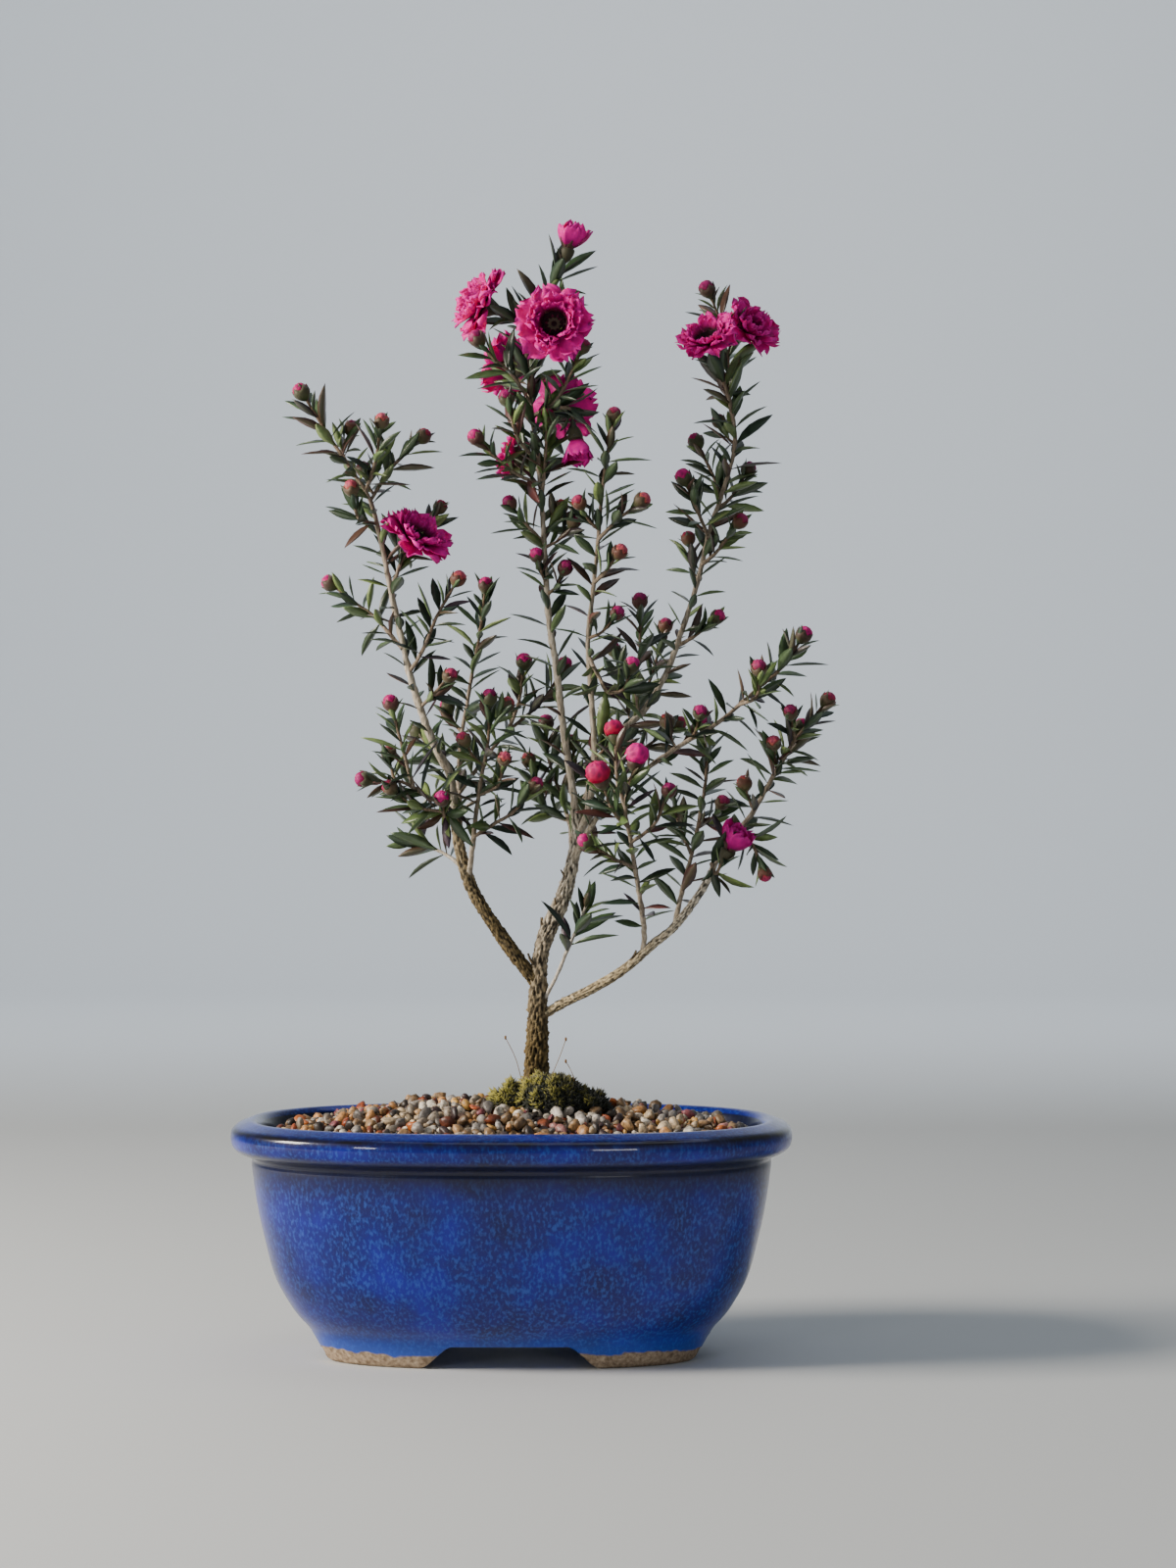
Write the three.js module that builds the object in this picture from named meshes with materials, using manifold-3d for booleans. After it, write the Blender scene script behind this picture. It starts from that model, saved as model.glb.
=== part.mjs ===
// A small burgundy queen tea tree grown as a bonsai, in its blue oval pot.
// Sizes are in millimetres. X runs to the right, Y away from the viewer, Z up; the feet stand on Z = 0.

import * as THREE from 'three';
import { mergeVertices } from 'three/addons/utils/BufferGeometryUtils.js';
import Module from 'manifold-3d';

const wasm = await Module();
wasm.setup();

// Space left between pieces that touch on the real thing
const GAP = 0.3;

// Pot: half its width at the rim, how much less half its depth is, and the height of its parts
const NARROWER_BY = 26.1;
const OVAL_POWER = 2.5;
const POT_SIDES = 32;
const FLOOR_TOP = 13;
const FLOOR_UNDERSIDE = 7.2;
const FRONT_ARCH_WIDTH = 48;
const END_ARCH_WIDTH = 22;
const ARCH_HEIGHT = 6.4;
const DRAIN_RADIUS = 8;

// Outside of the pot from its underside up over the rim and down to its floor, as half width and height
const POT_PROFILE = [
  [0, FLOOR_UNDERSIDE],
  [44.5, FLOOR_UNDERSIDE],
  [45.2, 0],
  [51.8, 0],
  [54.6, 7.4],
  [59, 12.2],
  [64.6, 21.5],
  [69.2, 40],
  [71, 54],
  [75.4, 57.2],
  [76.6, 60],
  [76.4, 62.4],
  [70.6, 64.8],
  [68.3, 63.4],
  [67, 59],
  [64.4, 35],
  [59, 19],
  [47, FLOOR_TOP],
  [0, FLOOR_TOP],
];

// Drain screen
const SCREEN_SIZE = 25;
const SCREEN_THICK = 1;
const SCREEN_STRAND = 1.2;
const SCREEN_HOLES = 3;

// Soil, the gravel over it and the moss
const MOUND_EDGE = 61.8;
const MOUND_RISE = 8.6;
const GRAVEL_DEPTH = 5;
const GRAVEL_HALF_WIDTH = 66.2;
const STONE_SPACING = 9;
const STONE_HEIGHT = 2.6;
const MOSS_BOTTOM = 68.2;

// Leaves and buds
const LEAF_THICK = 0.6;
const LEAF_FOOT = 0.9;
const TURN_PER_LEAF = THREE.MathUtils.degToRad(137.5);

// Where the eye is for the places read by eye below: its side offset, height and distance from the tree
const EYE_X = 20.8;
const EYE_Z = 153;
const EYE_DISTANCE = 930;

// The heights read by eye start this far above the table
const READING_LIFT = 3;

// Colours
const COBALT = '#16245c';
const MESH_BLACK = '#2b2b2b';
const SOIL_BROWN = '#3a2a1e';
const PEBBLE = '#b3946f';
const MOSS_GREEN = '#5f6a22';
const BARK = '#8b7f63';
const LEAF_GREEN = '#3c5a34';
const PETAL_PINK = '#b3175c';

// Random numbers that come out the same each time
function seeded(seed) {
  let state = seed >>> 0;
  return () => {
    state = (state + 0x6d2b79f5) >>> 0;
    let mixed = Math.imul(state ^ (state >>> 15), state | 1);
    mixed ^= mixed + Math.imul(mixed ^ (mixed >>> 7), mixed | 61);
    return ((mixed ^ (mixed >>> 14)) >>> 0) / 4294967296;
  };
}

// Solid from a list of corners and a list of triangles, turned to face outwards
function solidFrom(points, faces) {
  const make = (triangles) => new wasm.Manifold(new wasm.Mesh({
    numProp: 3,
    vertProperties: new Float32Array(points.flatMap((point) => point.toArray())),
    triVerts: new Uint32Array(triangles.flat()),
  }));
  const made = make(faces);
  return made.volume() < 0 ? make(faces.map(([a, b, c]) => [a, c, b])) : made;
}

// Solid from a closed three.js geometry
function solidOf(geometry) {
  const bare = geometry.clone();
  bare.deleteAttribute('normal');
  bare.deleteAttribute('uv');
  const merged = mergeVertices(bare, 1e-4);
  return new wasm.Manifold(new wasm.Mesh({
    numProp: 3,
    vertProperties: merged.attributes.position.array,
    triVerts: new Uint32Array(merged.index.array),
  }));
}

function joined(solids) {
  return solids.reduce((all, next) => all.add(next));
}

function geometryFrom(made) {
  const mesh = made.getMesh();
  const geometry = new THREE.BufferGeometry();
  geometry.setAttribute('position', new THREE.BufferAttribute(mesh.vertProperties, 3));
  geometry.setIndex(new THREE.BufferAttribute(mesh.triVerts, 1));
  return geometry.toNonIndexed();
}

// Plans that a profile is turned round: a circle, and the oval of the pot with walls of one slope all round
const roundPlan = (radius, angle) => [radius * Math.cos(angle), radius * Math.sin(angle)];

function ovalPlan(halfWidth, angle) {
  const halfDepth = Math.max(halfWidth - NARROWER_BY, 0.42 * halfWidth);
  const bend = (value) => Math.sign(value) * Math.abs(value) ** (2 / OVAL_POWER);
  return [halfWidth * bend(Math.cos(angle)), halfDepth * bend(Math.sin(angle))];
}

// Body with rings of corners for each [size, height] of its profile, which starts and ends on the axis
function turned(profile, sides, plan = roundPlan) {
  const points = [];
  const faces = [];
  profile.forEach(([size, height]) => {
    const count = size === 0 ? 1 : sides;
    for (let i = 0; i < count; i += 1) {
      const [x, y] = plan(size, (2 * Math.PI * i) / sides);
      points.push(new THREE.Vector3(x, y, height));
    }
  });
  let first = 0;
  for (let ring = 0; ring + 1 < profile.length; ring += 1) {
    const lowCount = profile[ring][0] === 0 ? 1 : sides;
    const highCount = profile[ring + 1][0] === 0 ? 1 : sides;
    const low = (i) => first + (lowCount === 1 ? 0 : i % sides);
    const high = (i) => first + lowCount + (highCount === 1 ? 0 : i % sides);
    for (let i = 0; i < sides; i += 1) {
      if (lowCount > 1) faces.push([low(i), low(i + 1), high(i)]);
      if (highCount > 1) faces.push([low(i + 1), high(i + 1), high(i)]);
    }
    first += lowCount;
  }
  return solidFrom(points, faces);
}

// Block from one corner to the opposite one
function block(low, high) {
  const size = high.map((value, axis) => value - low[axis]);
  const middle = high.map((value, axis) => (value + low[axis]) / 2);
  return solidOf(new THREE.BoxGeometry(...size).translate(...middle));
}

// Opening between two feet: flat on the table, with rounded upper corners, cut right through along Y
function archCutter(width, reach) {
  const shoulder = [[0, 0], [0.1, 0.45], [0.2, 0.8], [0.32, 1]];
  const right = shoulder.map(([inward, up]) => [(width / 2) * (1 - inward), ARCH_HEIGHT * up]);
  const left = right.map(([x, z]) => [-x, z]).reverse();
  const outline = [[-width / 2, -2], [width / 2, -2], ...right, ...left];
  const shape = new THREE.Shape(outline.map(([x, z]) => new THREE.Vector2(x, z)));
  const geometry = new THREE.ExtrudeGeometry(shape, { depth: 2 * reach, bevelEnabled: false });
  return geometry.translate(0, 0, -reach).rotateX(Math.PI / 2);
}

function potSolid() {
  const body = turned(POT_PROFILE, POT_SIDES, ovalPlan);
  const frontArch = solidOf(archCutter(FRONT_ARCH_WIDTH, 80));
  const endArch = solidOf(archCutter(END_ARCH_WIDTH, 80).rotateZ(Math.PI / 2));
  const drain = turned([[0, 0], [DRAIN_RADIUS, 0], [DRAIN_RADIUS, 20], [0, 20]], 16);
  return body.subtract(frontArch).subtract(endArch).subtract(drain);
}

// Square plastic mesh that lies over the drain hole
function screenSolid() {
  const half = SCREEN_SIZE / 2;
  const pitch = (SCREEN_SIZE - SCREEN_STRAND) / SCREEN_HOLES;
  const bottom = FLOOR_TOP + GAP;
  const openings = [];
  for (let column = 0; column < SCREEN_HOLES; column += 1) {
    for (let row = 0; row < SCREEN_HOLES; row += 1) {
      const left = -half + SCREEN_STRAND + column * pitch;
      const front = -half + SCREEN_STRAND + row * pitch;
      const side = pitch - SCREEN_STRAND;
      openings.push(block([left, front, bottom - 1], [left + side, front + side, bottom + 2]));
    }
  }
  return block([-half, -half, bottom], [half, half, bottom + SCREEN_THICK]).subtract(joined(openings));
}

// Height of the mounded surface: highest in the middle, lowest along the rim
function moundHeight(x, y) {
  const far = (x / GRAVEL_HALF_WIDTH) ** 2 + (y / (GRAVEL_HALF_WIDTH - NARROWER_BY)) ** 2;
  return MOUND_EDGE + MOUND_RISE * (1 - Math.min(far, 1));
}

// Profile of the mound, a given depth under its surface, from its rim up to its middle
function moundProfile(depth, grow) {
  return [1, 0.75, 0.45, 0].map((share) => [
    share * GRAVEL_HALF_WIDTH * grow,
    moundHeight(share * GRAVEL_HALF_WIDTH, 0) - depth,
  ]);
}

// Soil: it fills the pot up to the gravel, clear of the drain screen, with a plain hole for the roots
function soilSolid(rootHole) {
  const wall = [[0, 13.3], [46.8, 13.3], [58.5, 19.3], [63.9, 35.2], [66.2, 56]];
  const body = turned([...wall, ...moundProfile(GRAVEL_DEPTH + GAP, 1)], 24, ovalPlan);
  const half = SCREEN_SIZE / 2 + GAP;
  const top = FLOOR_TOP + SCREEN_THICK + 2 * GAP;
  const screenRoom = block([-half, -half, 10], [half, half, top]);
  return body.subtract(screenRoom).subtract(rootHole);
}

// Gravel: stones on a jittered honeycomb, each a low many-sided hump that shares its corners with others
function stoneRelief() {
  const draw = seeded(11);
  const rowStep = (STONE_SPACING * Math.sqrt(3)) / 2;
  const rows = 2 * Math.ceil(46 / rowStep) + 1;
  const columns = 2 * Math.ceil(72 / STONE_SPACING) + 1;
  const points = [];
  const faces = [];
  const bottom = 48;
  const stones = [];
  for (let row = 0; row < rows; row += 1) {
    stones.push([]);
    for (let column = 0; column < columns; column += 1) {
      const x = (column - (columns - 1) / 2 + (row % 2) / 2) * STONE_SPACING + 2.6 * (draw() - 0.5);
      const y = (row - (rows - 1) / 2) * rowStep + 2.6 * (draw() - 0.5);
      const top = moundHeight(x, y) + STONE_HEIGHT * (0.25 + 0.6 * draw());
      stones[row].push(points.push(new THREE.Vector3(x, y, top)) - 1);
    }
  }
  const crack = (corners) => {
    const middle = corners.reduce((sum, i) => sum.add(points[i]), new THREE.Vector3()).divideScalar(3);
    middle.z = moundHeight(middle.x, middle.y) - STONE_HEIGHT * (0.35 + 0.3 * draw());
    return points.push(middle) - 1;
  };
  const edges = new Map();
  const addCell = (corners) => {
    const middle = crack(corners);
    corners.forEach((from, i) => {
      const to = corners[(i + 1) % 3];
      const key = Math.min(from, to) + '_' + Math.max(from, to);
      if (!edges.has(key)) edges.set(key, []);
      edges.get(key).push({ from, to, middle });
    });
  };
  for (let row = 0; row + 1 < rows; row += 1) {
    for (let column = 0; column + 1 < columns; column += 1) {
      const [a, b] = [stones[row][column], stones[row][column + 1]];
      const [d, c] = [stones[row + 1][column], stones[row + 1][column + 1]];
      if (row % 2 === 0) {
        addCell([a, b, d]);
        addCell([b, c, d]);
      } else {
        addCell([a, b, c]);
        addCell([a, c, d]);
      }
    }
  }
  // Between two cells, the edge from stone to stone is swapped for the one from crack to crack
  const underside = points.map((point) => new THREE.Vector3(point.x, point.y, bottom));
  const count = points.length;
  edges.forEach((sides) => {
    const [one, two] = sides;
    if (two) {
      faces.push([one.from, two.middle, one.middle], [one.to, one.middle, two.middle]);
    } else {
      faces.push([one.from, one.to, one.middle]);
      faces.push([one.to, one.from, one.to + count], [one.from, one.from + count, one.to + count]);
    }
  });
  const topFaces = faces.filter((face) => face.every((i) => i < count));
  topFaces.forEach(([a, b, c]) => faces.push([a + count, c + count, b + count]));
  return solidFrom([...points, ...underside], faces);
}

function gravelSolid(rootHole, mossBed) {
  const inside = turned(
    [[0, 49], [GRAVEL_HALF_WIDTH, 49], [GRAVEL_HALF_WIDTH, 80], [0, 80]],
    POT_SIDES,
    ovalPlan,
  );
  const soil = turned([[0, 30], [70, 30], ...moundProfile(GRAVEL_DEPTH, 1.06)], 24, ovalPlan);
  return stoneRelief().intersect(inside).subtract(soil).subtract(rootHole).subtract(mossBed);
}

// Moss: three cushions run together round the foot of the trunk, with small bumps on a polar net
const MOSS_LOBES = [
  { x: 11, y: -7, reach: 10.5, height: 9 },
  { x: 1, y: -6, reach: 7, height: 6.5 },
  { x: 20, y: -7, reach: 6.5, height: 4.4 },
  { x: 8, y: 5, reach: 9, height: 7 },
];
const MOSS_MIDDLE = [9.5, -3.5];
const MOSS_EDGE = 0.9;

function mossHeight(x, y) {
  const lobes = MOSS_LOBES.map((lobe) => {
    const near = 1 - ((x - lobe.x) ** 2 + (y - lobe.y) ** 2) / lobe.reach ** 2;
    return near <= 0 ? 0 : lobe.height * near ** 0.6;
  });
  return Math.max(...lobes);
}

// Distance from the middle of the moss to its outline at one angle
function mossReach(angle) {
  let reach = 3;
  const heightAt = (far) => mossHeight(
    MOSS_MIDDLE[0] + far * Math.cos(angle),
    MOSS_MIDDLE[1] + far * Math.sin(angle),
  );
  while (heightAt(reach) > MOSS_EDGE) reach += 0.1;
  return reach;
}

function mossSolid(grow, bottom, bumpy) {
  const draw = seeded(5);
  const around = 24;
  const shares = [1, 0.97, 0.8, 0.62, 0.42, 0.2];
  const points = [new THREE.Vector3(MOSS_MIDDLE[0], MOSS_MIDDLE[1], bottom)];
  const faces = [];
  const place = (angle, reach, height) => new THREE.Vector3(
    MOSS_MIDDLE[0] + reach * Math.cos(angle),
    MOSS_MIDDLE[1] + reach * Math.sin(angle),
    height,
  );
  shares.forEach((share, ring) => {
    for (let i = 0; i < around; i += 1) {
      const angle = (2 * Math.PI * (i + (ring % 2) / 2)) / around;
      const point = place(angle, (mossReach(angle) + grow) * share, bottom);
      const bump = bumpy ? 1.3 * (draw() - 0.5) : 0;
      if (ring > 0) point.z = bumpy ? bottom + Math.max(mossHeight(point.x, point.y) + bump, MOSS_EDGE) : 90;
      points.push(point);
    }
  });
  const peak = bumpy ? bottom + mossHeight(...MOSS_MIDDLE) : 90;
  points.push(place(0, 0, peak));
  const corner = (ring, i) => 1 + ring * around + (i % around);
  for (let i = 0; i < around; i += 1) {
    faces.push([0, corner(0, i + 1), corner(0, i)]);
    faces.push([points.length - 1, corner(shares.length - 1, i), corner(shares.length - 1, i + 1)]);
    for (let ring = 0; ring + 1 < shares.length; ring += 1) {
      const shift = ring % 2;
      faces.push([corner(ring, i), corner(ring, i + 1), corner(ring + 1, i + shift)]);
      faces.push([corner(ring, i + 1 - shift), corner(ring + 1, i + 1), corner(ring + 1, i)]);
    }
  }
  return solidFrom(points, faces);
}

// A place read by eye at the depth of the trunk, moved along the line of sight to its own depth
function seen(x, y, z) {
  const scale = (EYE_DISTANCE + y) / EYE_DISTANCE;
  const height = READING_LIFT + EYE_Z + (z - EYE_Z) * scale;
  return new THREE.Vector3(EYE_X + (x - EYE_X) * scale, y, height);
}

function curveThrough(places) {
  return new THREE.CatmullRomCurve3(places.map((place) => seen(...place)), false, 'centripetal');
}

// Centre, direction and two sideways directions of a stem at each of its rings, without twisting
function framesAlong(curve, rings) {
  const length = curve.getLength();
  let normal = new THREE.Vector3(0.3, -1, 0.2);
  return rings.map((ring) => {
    const share = THREE.MathUtils.clamp(ring.at / length, 0, 1);
    const centre = curve.getPointAt(share);
    const ahead = curve.getTangentAt(share);
    centre.addScaledVector(ahead, ring.at - share * length);
    normal = normal.clone().addScaledVector(ahead, -normal.dot(ahead)).normalize();
    return { centre, ahead, normal, side: ahead.clone().cross(normal) };
  });
}

function ringCorner(frame, radius, angle) {
  return frame.centre.clone()
    .addScaledVector(frame.normal, radius * Math.cos(angle))
    .addScaledVector(frame.side, radius * Math.sin(angle));
}

// Stem as rings of corners along a curve. A face between two rings may go on into a leaf blade, and the
// end of a three-sided stem may swell into a six-sided flower bud.
function stemSolid(curve, rings, sides, budWidth = 0) {
  const frames = framesAlong(curve, rings);
  const points = [];
  const faces = [];
  rings.forEach((ring, i) => {
    for (let j = 0; j < sides; j += 1) {
      points.push(ringCorner(frames[i], ring.radius, ring.turn + ((j - 0.5) * 2 * Math.PI) / sides));
    }
  });
  const root = points.push(frames[0].centre.clone()) - 1;
  const last = (rings.length - 1) * sides;
  const endFrame = frames[rings.length - 1];
  if (budWidth) {
    addBud(points, faces, last, endFrame, rings[rings.length - 1].turn, budWidth / 2);
  } else {
    const tip = points.push(endFrame.centre.clone()) - 1;
    for (let j = 0; j < sides; j += 1) faces.push([tip, last + j, last + ((j + 1) % sides)]);
  }
  for (let j = 0; j < sides; j += 1) {
    const next = (j + 1) % sides;
    faces.push([root, next, j]);
    for (let i = 0; i + 1 < rings.length; i += 1) {
      const foot = [i * sides + j, i * sides + next, (i + 1) * sides + next, (i + 1) * sides + j];
      const leaf = (rings[i].leaves || []).find((one) => one.face === j);
      if (leaf) {
        addBlade(points, faces, foot, leaf);
      } else {
        faces.push([foot[0], foot[1], foot[2]], [foot[0], foot[2], foot[3]]);
      }
    }
  }
  return solidFrom(points, faces);
}

// Flower bud on the last ring of a three-sided stem: a widening cup, petals still closed over it, a point
function addBud(points, faces, last, frame, turn, half) {
  const ringAt = (ahead, radius) => {
    const centre = frame.centre.clone().addScaledVector(frame.ahead, ahead);
    for (let k = 0; k < 6; k += 1) {
      points.push(ringCorner({ ...frame, centre }, radius, turn - Math.PI / 3 + (k * Math.PI) / 3));
    }
  };
  const first = points.length;
  ringAt(1.1 * half, 0.97 * half);
  ringAt(2 * half, 0.82 * half);
  const peak = points.push(frame.centre.clone().addScaledVector(frame.ahead, 2.5 * half)) - 1;
  for (let j = 0; j < 3; j += 1) {
    const [stem, nextStem] = [last + j, last + ((j + 1) % 3)];
    const [low, middle, high] = [first + 2 * j, first + 2 * j + 1, first + ((2 * j + 2) % 6)];
    faces.push([stem, middle, low], [stem, nextStem, middle], [nextStem, high, middle]);
  }
  for (let k = 0; k < 6; k += 1) {
    const [here, there] = [first + k, first + ((k + 1) % 6)];
    faces.push([here, there, there + 6], [here, there + 6, here + 6], [here + 6, there + 6, peak]);
  }
}

// Leaf blade drawn out of a stem's face: a keeled section at its widest place, then a point
function addBlade(points, faces, foot, leaf) {
  const widest = leaf.root.clone().addScaledVector(leaf.along, 0.42 * leaf.length);
  const [left, right, keel] = [[-0.5, -0.5], [0.5, -0.5], [0, 0.5]].map(([across, over]) => {
    const corner = widest.clone().addScaledVector(leaf.across, across * leaf.width);
    return points.push(corner.addScaledVector(leaf.over, over * LEAF_THICK)) - 1;
  });
  const tip = points.push(leaf.tip.clone()) - 1;
  const [lowLeft, lowRight, highRight, highLeft] = foot;
  faces.push([lowLeft, lowRight, right], [lowLeft, right, left]);
  faces.push([lowRight, highRight, right], [highRight, keel, right]);
  faces.push([highRight, highLeft, keel], [highLeft, left, keel], [highLeft, lowLeft, left]);
  faces.push([left, right, tip], [right, keel, tip], [keel, left, tip]);
}

// Least distance between two straight pieces
function distanceBetween(a, b) {
  const [u, v] = [a.to.clone().sub(a.from), b.to.clone().sub(b.from)];
  const w = a.from.clone().sub(b.from);
  const [uu, uv, vv, uw, vw] = [u.dot(u), u.dot(v), v.dot(v), u.dot(w), v.dot(w)];
  const clamp = (value) => Math.min(Math.max(value, 0), 1);
  const spread = uu * vv - uv * uv;
  let s = spread > 1e-9 ? clamp((uv * vw - vv * uw) / spread) : 0;
  const t = clamp(vv > 0 ? (uv * s + vw) / vv : 0);
  s = clamp(uu > 0 ? (uv * t - uw) / uu : 0);
  return w.addScaledVector(u, s).addScaledVector(v, -t).length();
}

// Everything that leaves have to keep clear of, as straight pieces with a thickness
const taken = [];

function take(from, to, radius, node, stem, kind) {
  taken.push({ from, to, radius, node, stem, kind, reach: from.distanceTo(to) / 2 + radius });
}

function isFree(piece) {
  const middle = piece.from.clone().lerp(piece.to, 0.5);
  const reach = middle.distanceTo(piece.to) + piece.radius;
  return taken.every((other) => {
    if (other.from.clone().lerp(other.to, 0.5).distanceTo(middle) > reach + other.reach + GAP) return true;
    if (other.node === piece.node && (other.kind !== 'leaf')) return true;
    if (other.node === piece.node) {
      const own = other.stem === piece.stem ? 0.62 : 0.3;
      return distanceBetween(piece.blade, other) > own * (piece.radius + other.radius);
    }
    return distanceBetween(piece, other) > piece.radius + other.radius + GAP;
  });
}

function takeCurve(curve, thick, node, stem) {
  const length = curve.getLength();
  const count = Math.max(2, Math.ceil(length / 5));
  for (let i = 0; i < count; i += 1) {
    const share = (i + 0.5) / count;
    const radius = THREE.MathUtils.lerp(thick[0], thick[1], share);
    take(curve.getPointAt(i / count), curve.getPointAt((i + 1) / count), radius, node, stem, 'stem');
  }
}

// Trunk and the bare limbs that hold the leafy stems, each as places with a half thickness
const TRUNK = [
  [8, 2, 40, 1.6], [7.6, 1, 50, 3], [7.2, 0, 60, 4], [7, 0, 67, 4], [6.7, 0, 75, 3.15], [7, 0, 85, 2.8],
  [7.1, 0, 95, 2.4], [7.3, 0, 101, 2.2], [8, 0, 107, 2.05], [9.5, 0, 112, 2.15], [12, 0, 117.5, 2.15],
  [14, 0, 122, 2.05], [15.7, 0, 128, 1.8], [17, 0, 134, 1.6], [17.8, 0.5, 140, 1.4], [17.4, 1, 146, 1.25],
];
const LEFT_LIMB = [
  [6.6, 0, 98.5, 1.6], [1, -1, 106, 1.85], [-3, -1, 111.5, 1.75], [-7, -2, 117.5, 1.7],
  [-10.5, -2, 123.5, 1.7],
  [-12.7, -3, 129, 1.6], [-14, -3, 134, 1.5], [-15, -4, 140, 1.45], [-15.7, -4, 145, 1.4],
];
const RIGHT_LIMB = [
  [7.5, 0, 89, 1.1], [13, -1, 92.5, 1.3], [22, -4, 97, 1.3], [31, -6, 102.5, 1.25], [39, -8, 109.5, 1.2],
  [44, -9, 113.5, 1.15], [52, -10, 124, 1.05], [54.6, -11, 129, 1],
];
const STUB = [[8.1, 0, 110, 0.7], [8.2, 0, 113, 0.9], [8.1, 0, 116.5, 0.8]];

// Limb through places with half thicknesses, its skin a little uneven; grow widens and lengthens it
function limbSolid(places, sides, grow) {
  const curve = curveThrough(places);
  const length = curve.getLength();
  const count = Math.round(length / 6);
  const rings = [];
  for (let i = 0; i <= count; i += 1) {
    const share = i / count;
    const along = share * (places.length - 1);
    const low = Math.min(Math.floor(along), places.length - 2);
    const radius = THREE.MathUtils.lerp(places[low][3], places[low + 1][3], along - low);
    const rough = 1 + 0.05 * Math.sin(7 * i) * (sides > 6 ? 1 : 0.6);
    rings.push({ at: share * length, radius: radius * rough + grow, turn: 0.15 * i });
  }
  rings[0].at -= grow;
  rings[count].at += grow;
  return stemSolid(curve, rings, sides);
}

function trunkSolid(grow) {
  return joined([
    limbSolid(TRUNK, 8, grow),
    limbSolid(LEFT_LIMB, 6, grow),
    limbSolid(RIGHT_LIMB, 6, grow),
    limbSolid(STUB, 5, grow),
  ]);
}

// Turns a body made along Z to point another way from a new start
function pointed(made, start, ahead) {
  const turn = new THREE.Quaternion().setFromUnitVectors(new THREE.Vector3(0, 0, 1), ahead);
  const matrix = new THREE.Matrix4().compose(start, turn, new THREE.Vector3(1, 1, 1));
  return made.transform(matrix.elements);
}

// Blooms: middle, where they face, petal length, and layers of petals as length share and rise in degrees
const DOUBLE = [[1, 12], [0.8, 40], [0.5, 66]];
const SINGLE = [[1, 28], [0.68, 58]];
const HALF_OPEN = [[1, 50], [0.85, 74]];
const BLOOMS = {
  bloom_top_front: { at: [11.5, -8, 279], faces: [-0.05, -1, 0.12], size: 10.4, layers: DOUBLE },
  bloom_top_left: { at: [-8, 0, 284], faces: [-0.8, -0.35, 0.4], size: 9.8, layers: DOUBLE },
  bloom_back_left: { at: [0.5, 15, 267], faces: [-0.65, 0.6, 0.3], size: 9.2, layers: SINGLE },
  bloom_back_right: { at: [13, 12, 255], faces: [0.35, 0.8, 0.42], size: 9.8, layers: SINGLE },
  bloom_drooping: { at: [17.4, -3, 247.4], faces: [0.15, -0.25, -0.95], size: 6.6, layers: HALF_OPEN },
  bloom_inner: { at: [1.6, 10, 242], faces: [-0.9, 0.3, 0.25], size: 6.4, layers: SINGLE },
  bloom_left: { at: [-26.5, -13, 220], faces: [0.5, -0.5, 0.7], size: 9.4, layers: DOUBLE },
  bloom_right_front: { at: [54, 8, 274.5], faces: [-0.3, -0.6, 0.7], size: 8.2, layers: DOUBLE },
  bloom_right_back: { at: [64.5, 22, 277], faces: [0.55, -0.6, 0.45], size: 8.2, layers: SINGLE },
  bloom_low_right: { at: [59.4, -18, 135], faces: [0.45, -0.3, 0.85], size: 6.4, layers: HALF_OPEN },
  bud_opening_top: { at: [15.2, 4, 299.5], faces: [0.25, -0.1, 0.95], size: 6.2, layers: HALF_OPEN },
};
const CUP_LENGTH = 4.6;

// Corners of a bloom's net that lie round it: each petal has a notch, a shoulder, a tip and a shoulder.
// Petals that stand up are less deeply parted, so that no layer cuts through the next.
const BLOOM_SIDES = 20;
const FLAT_PETAL = [0.5, 0.95, 1, 0.95];
const RAISED_PETAL = [0.75, 0.95, 1, 0.95];
const RAISED_FROM = 20;
const LEAST_PETAL = 0.35;

// Edge of one layer of petals, ruffled by seeded draws, outside the throat that the layer closes on
function petalEdge(size, rise, shift, throat, draw) {
  const outline = rise < RAISED_FROM ? FLAT_PETAL : RAISED_PETAL;
  return Array.from({ length: BLOOM_SIDES }, (_, i) => {
    const reach = size * outline[(i + shift) % 4] * (0.94 + 0.12 * draw());
    const tilt = THREE.MathUtils.degToRad(rise + 8 * (draw() - 0.5));
    return [Math.max(reach * Math.cos(tilt), throat + LEAST_PETAL), 0.6 + reach * Math.sin(tilt)];
  });
}

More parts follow.
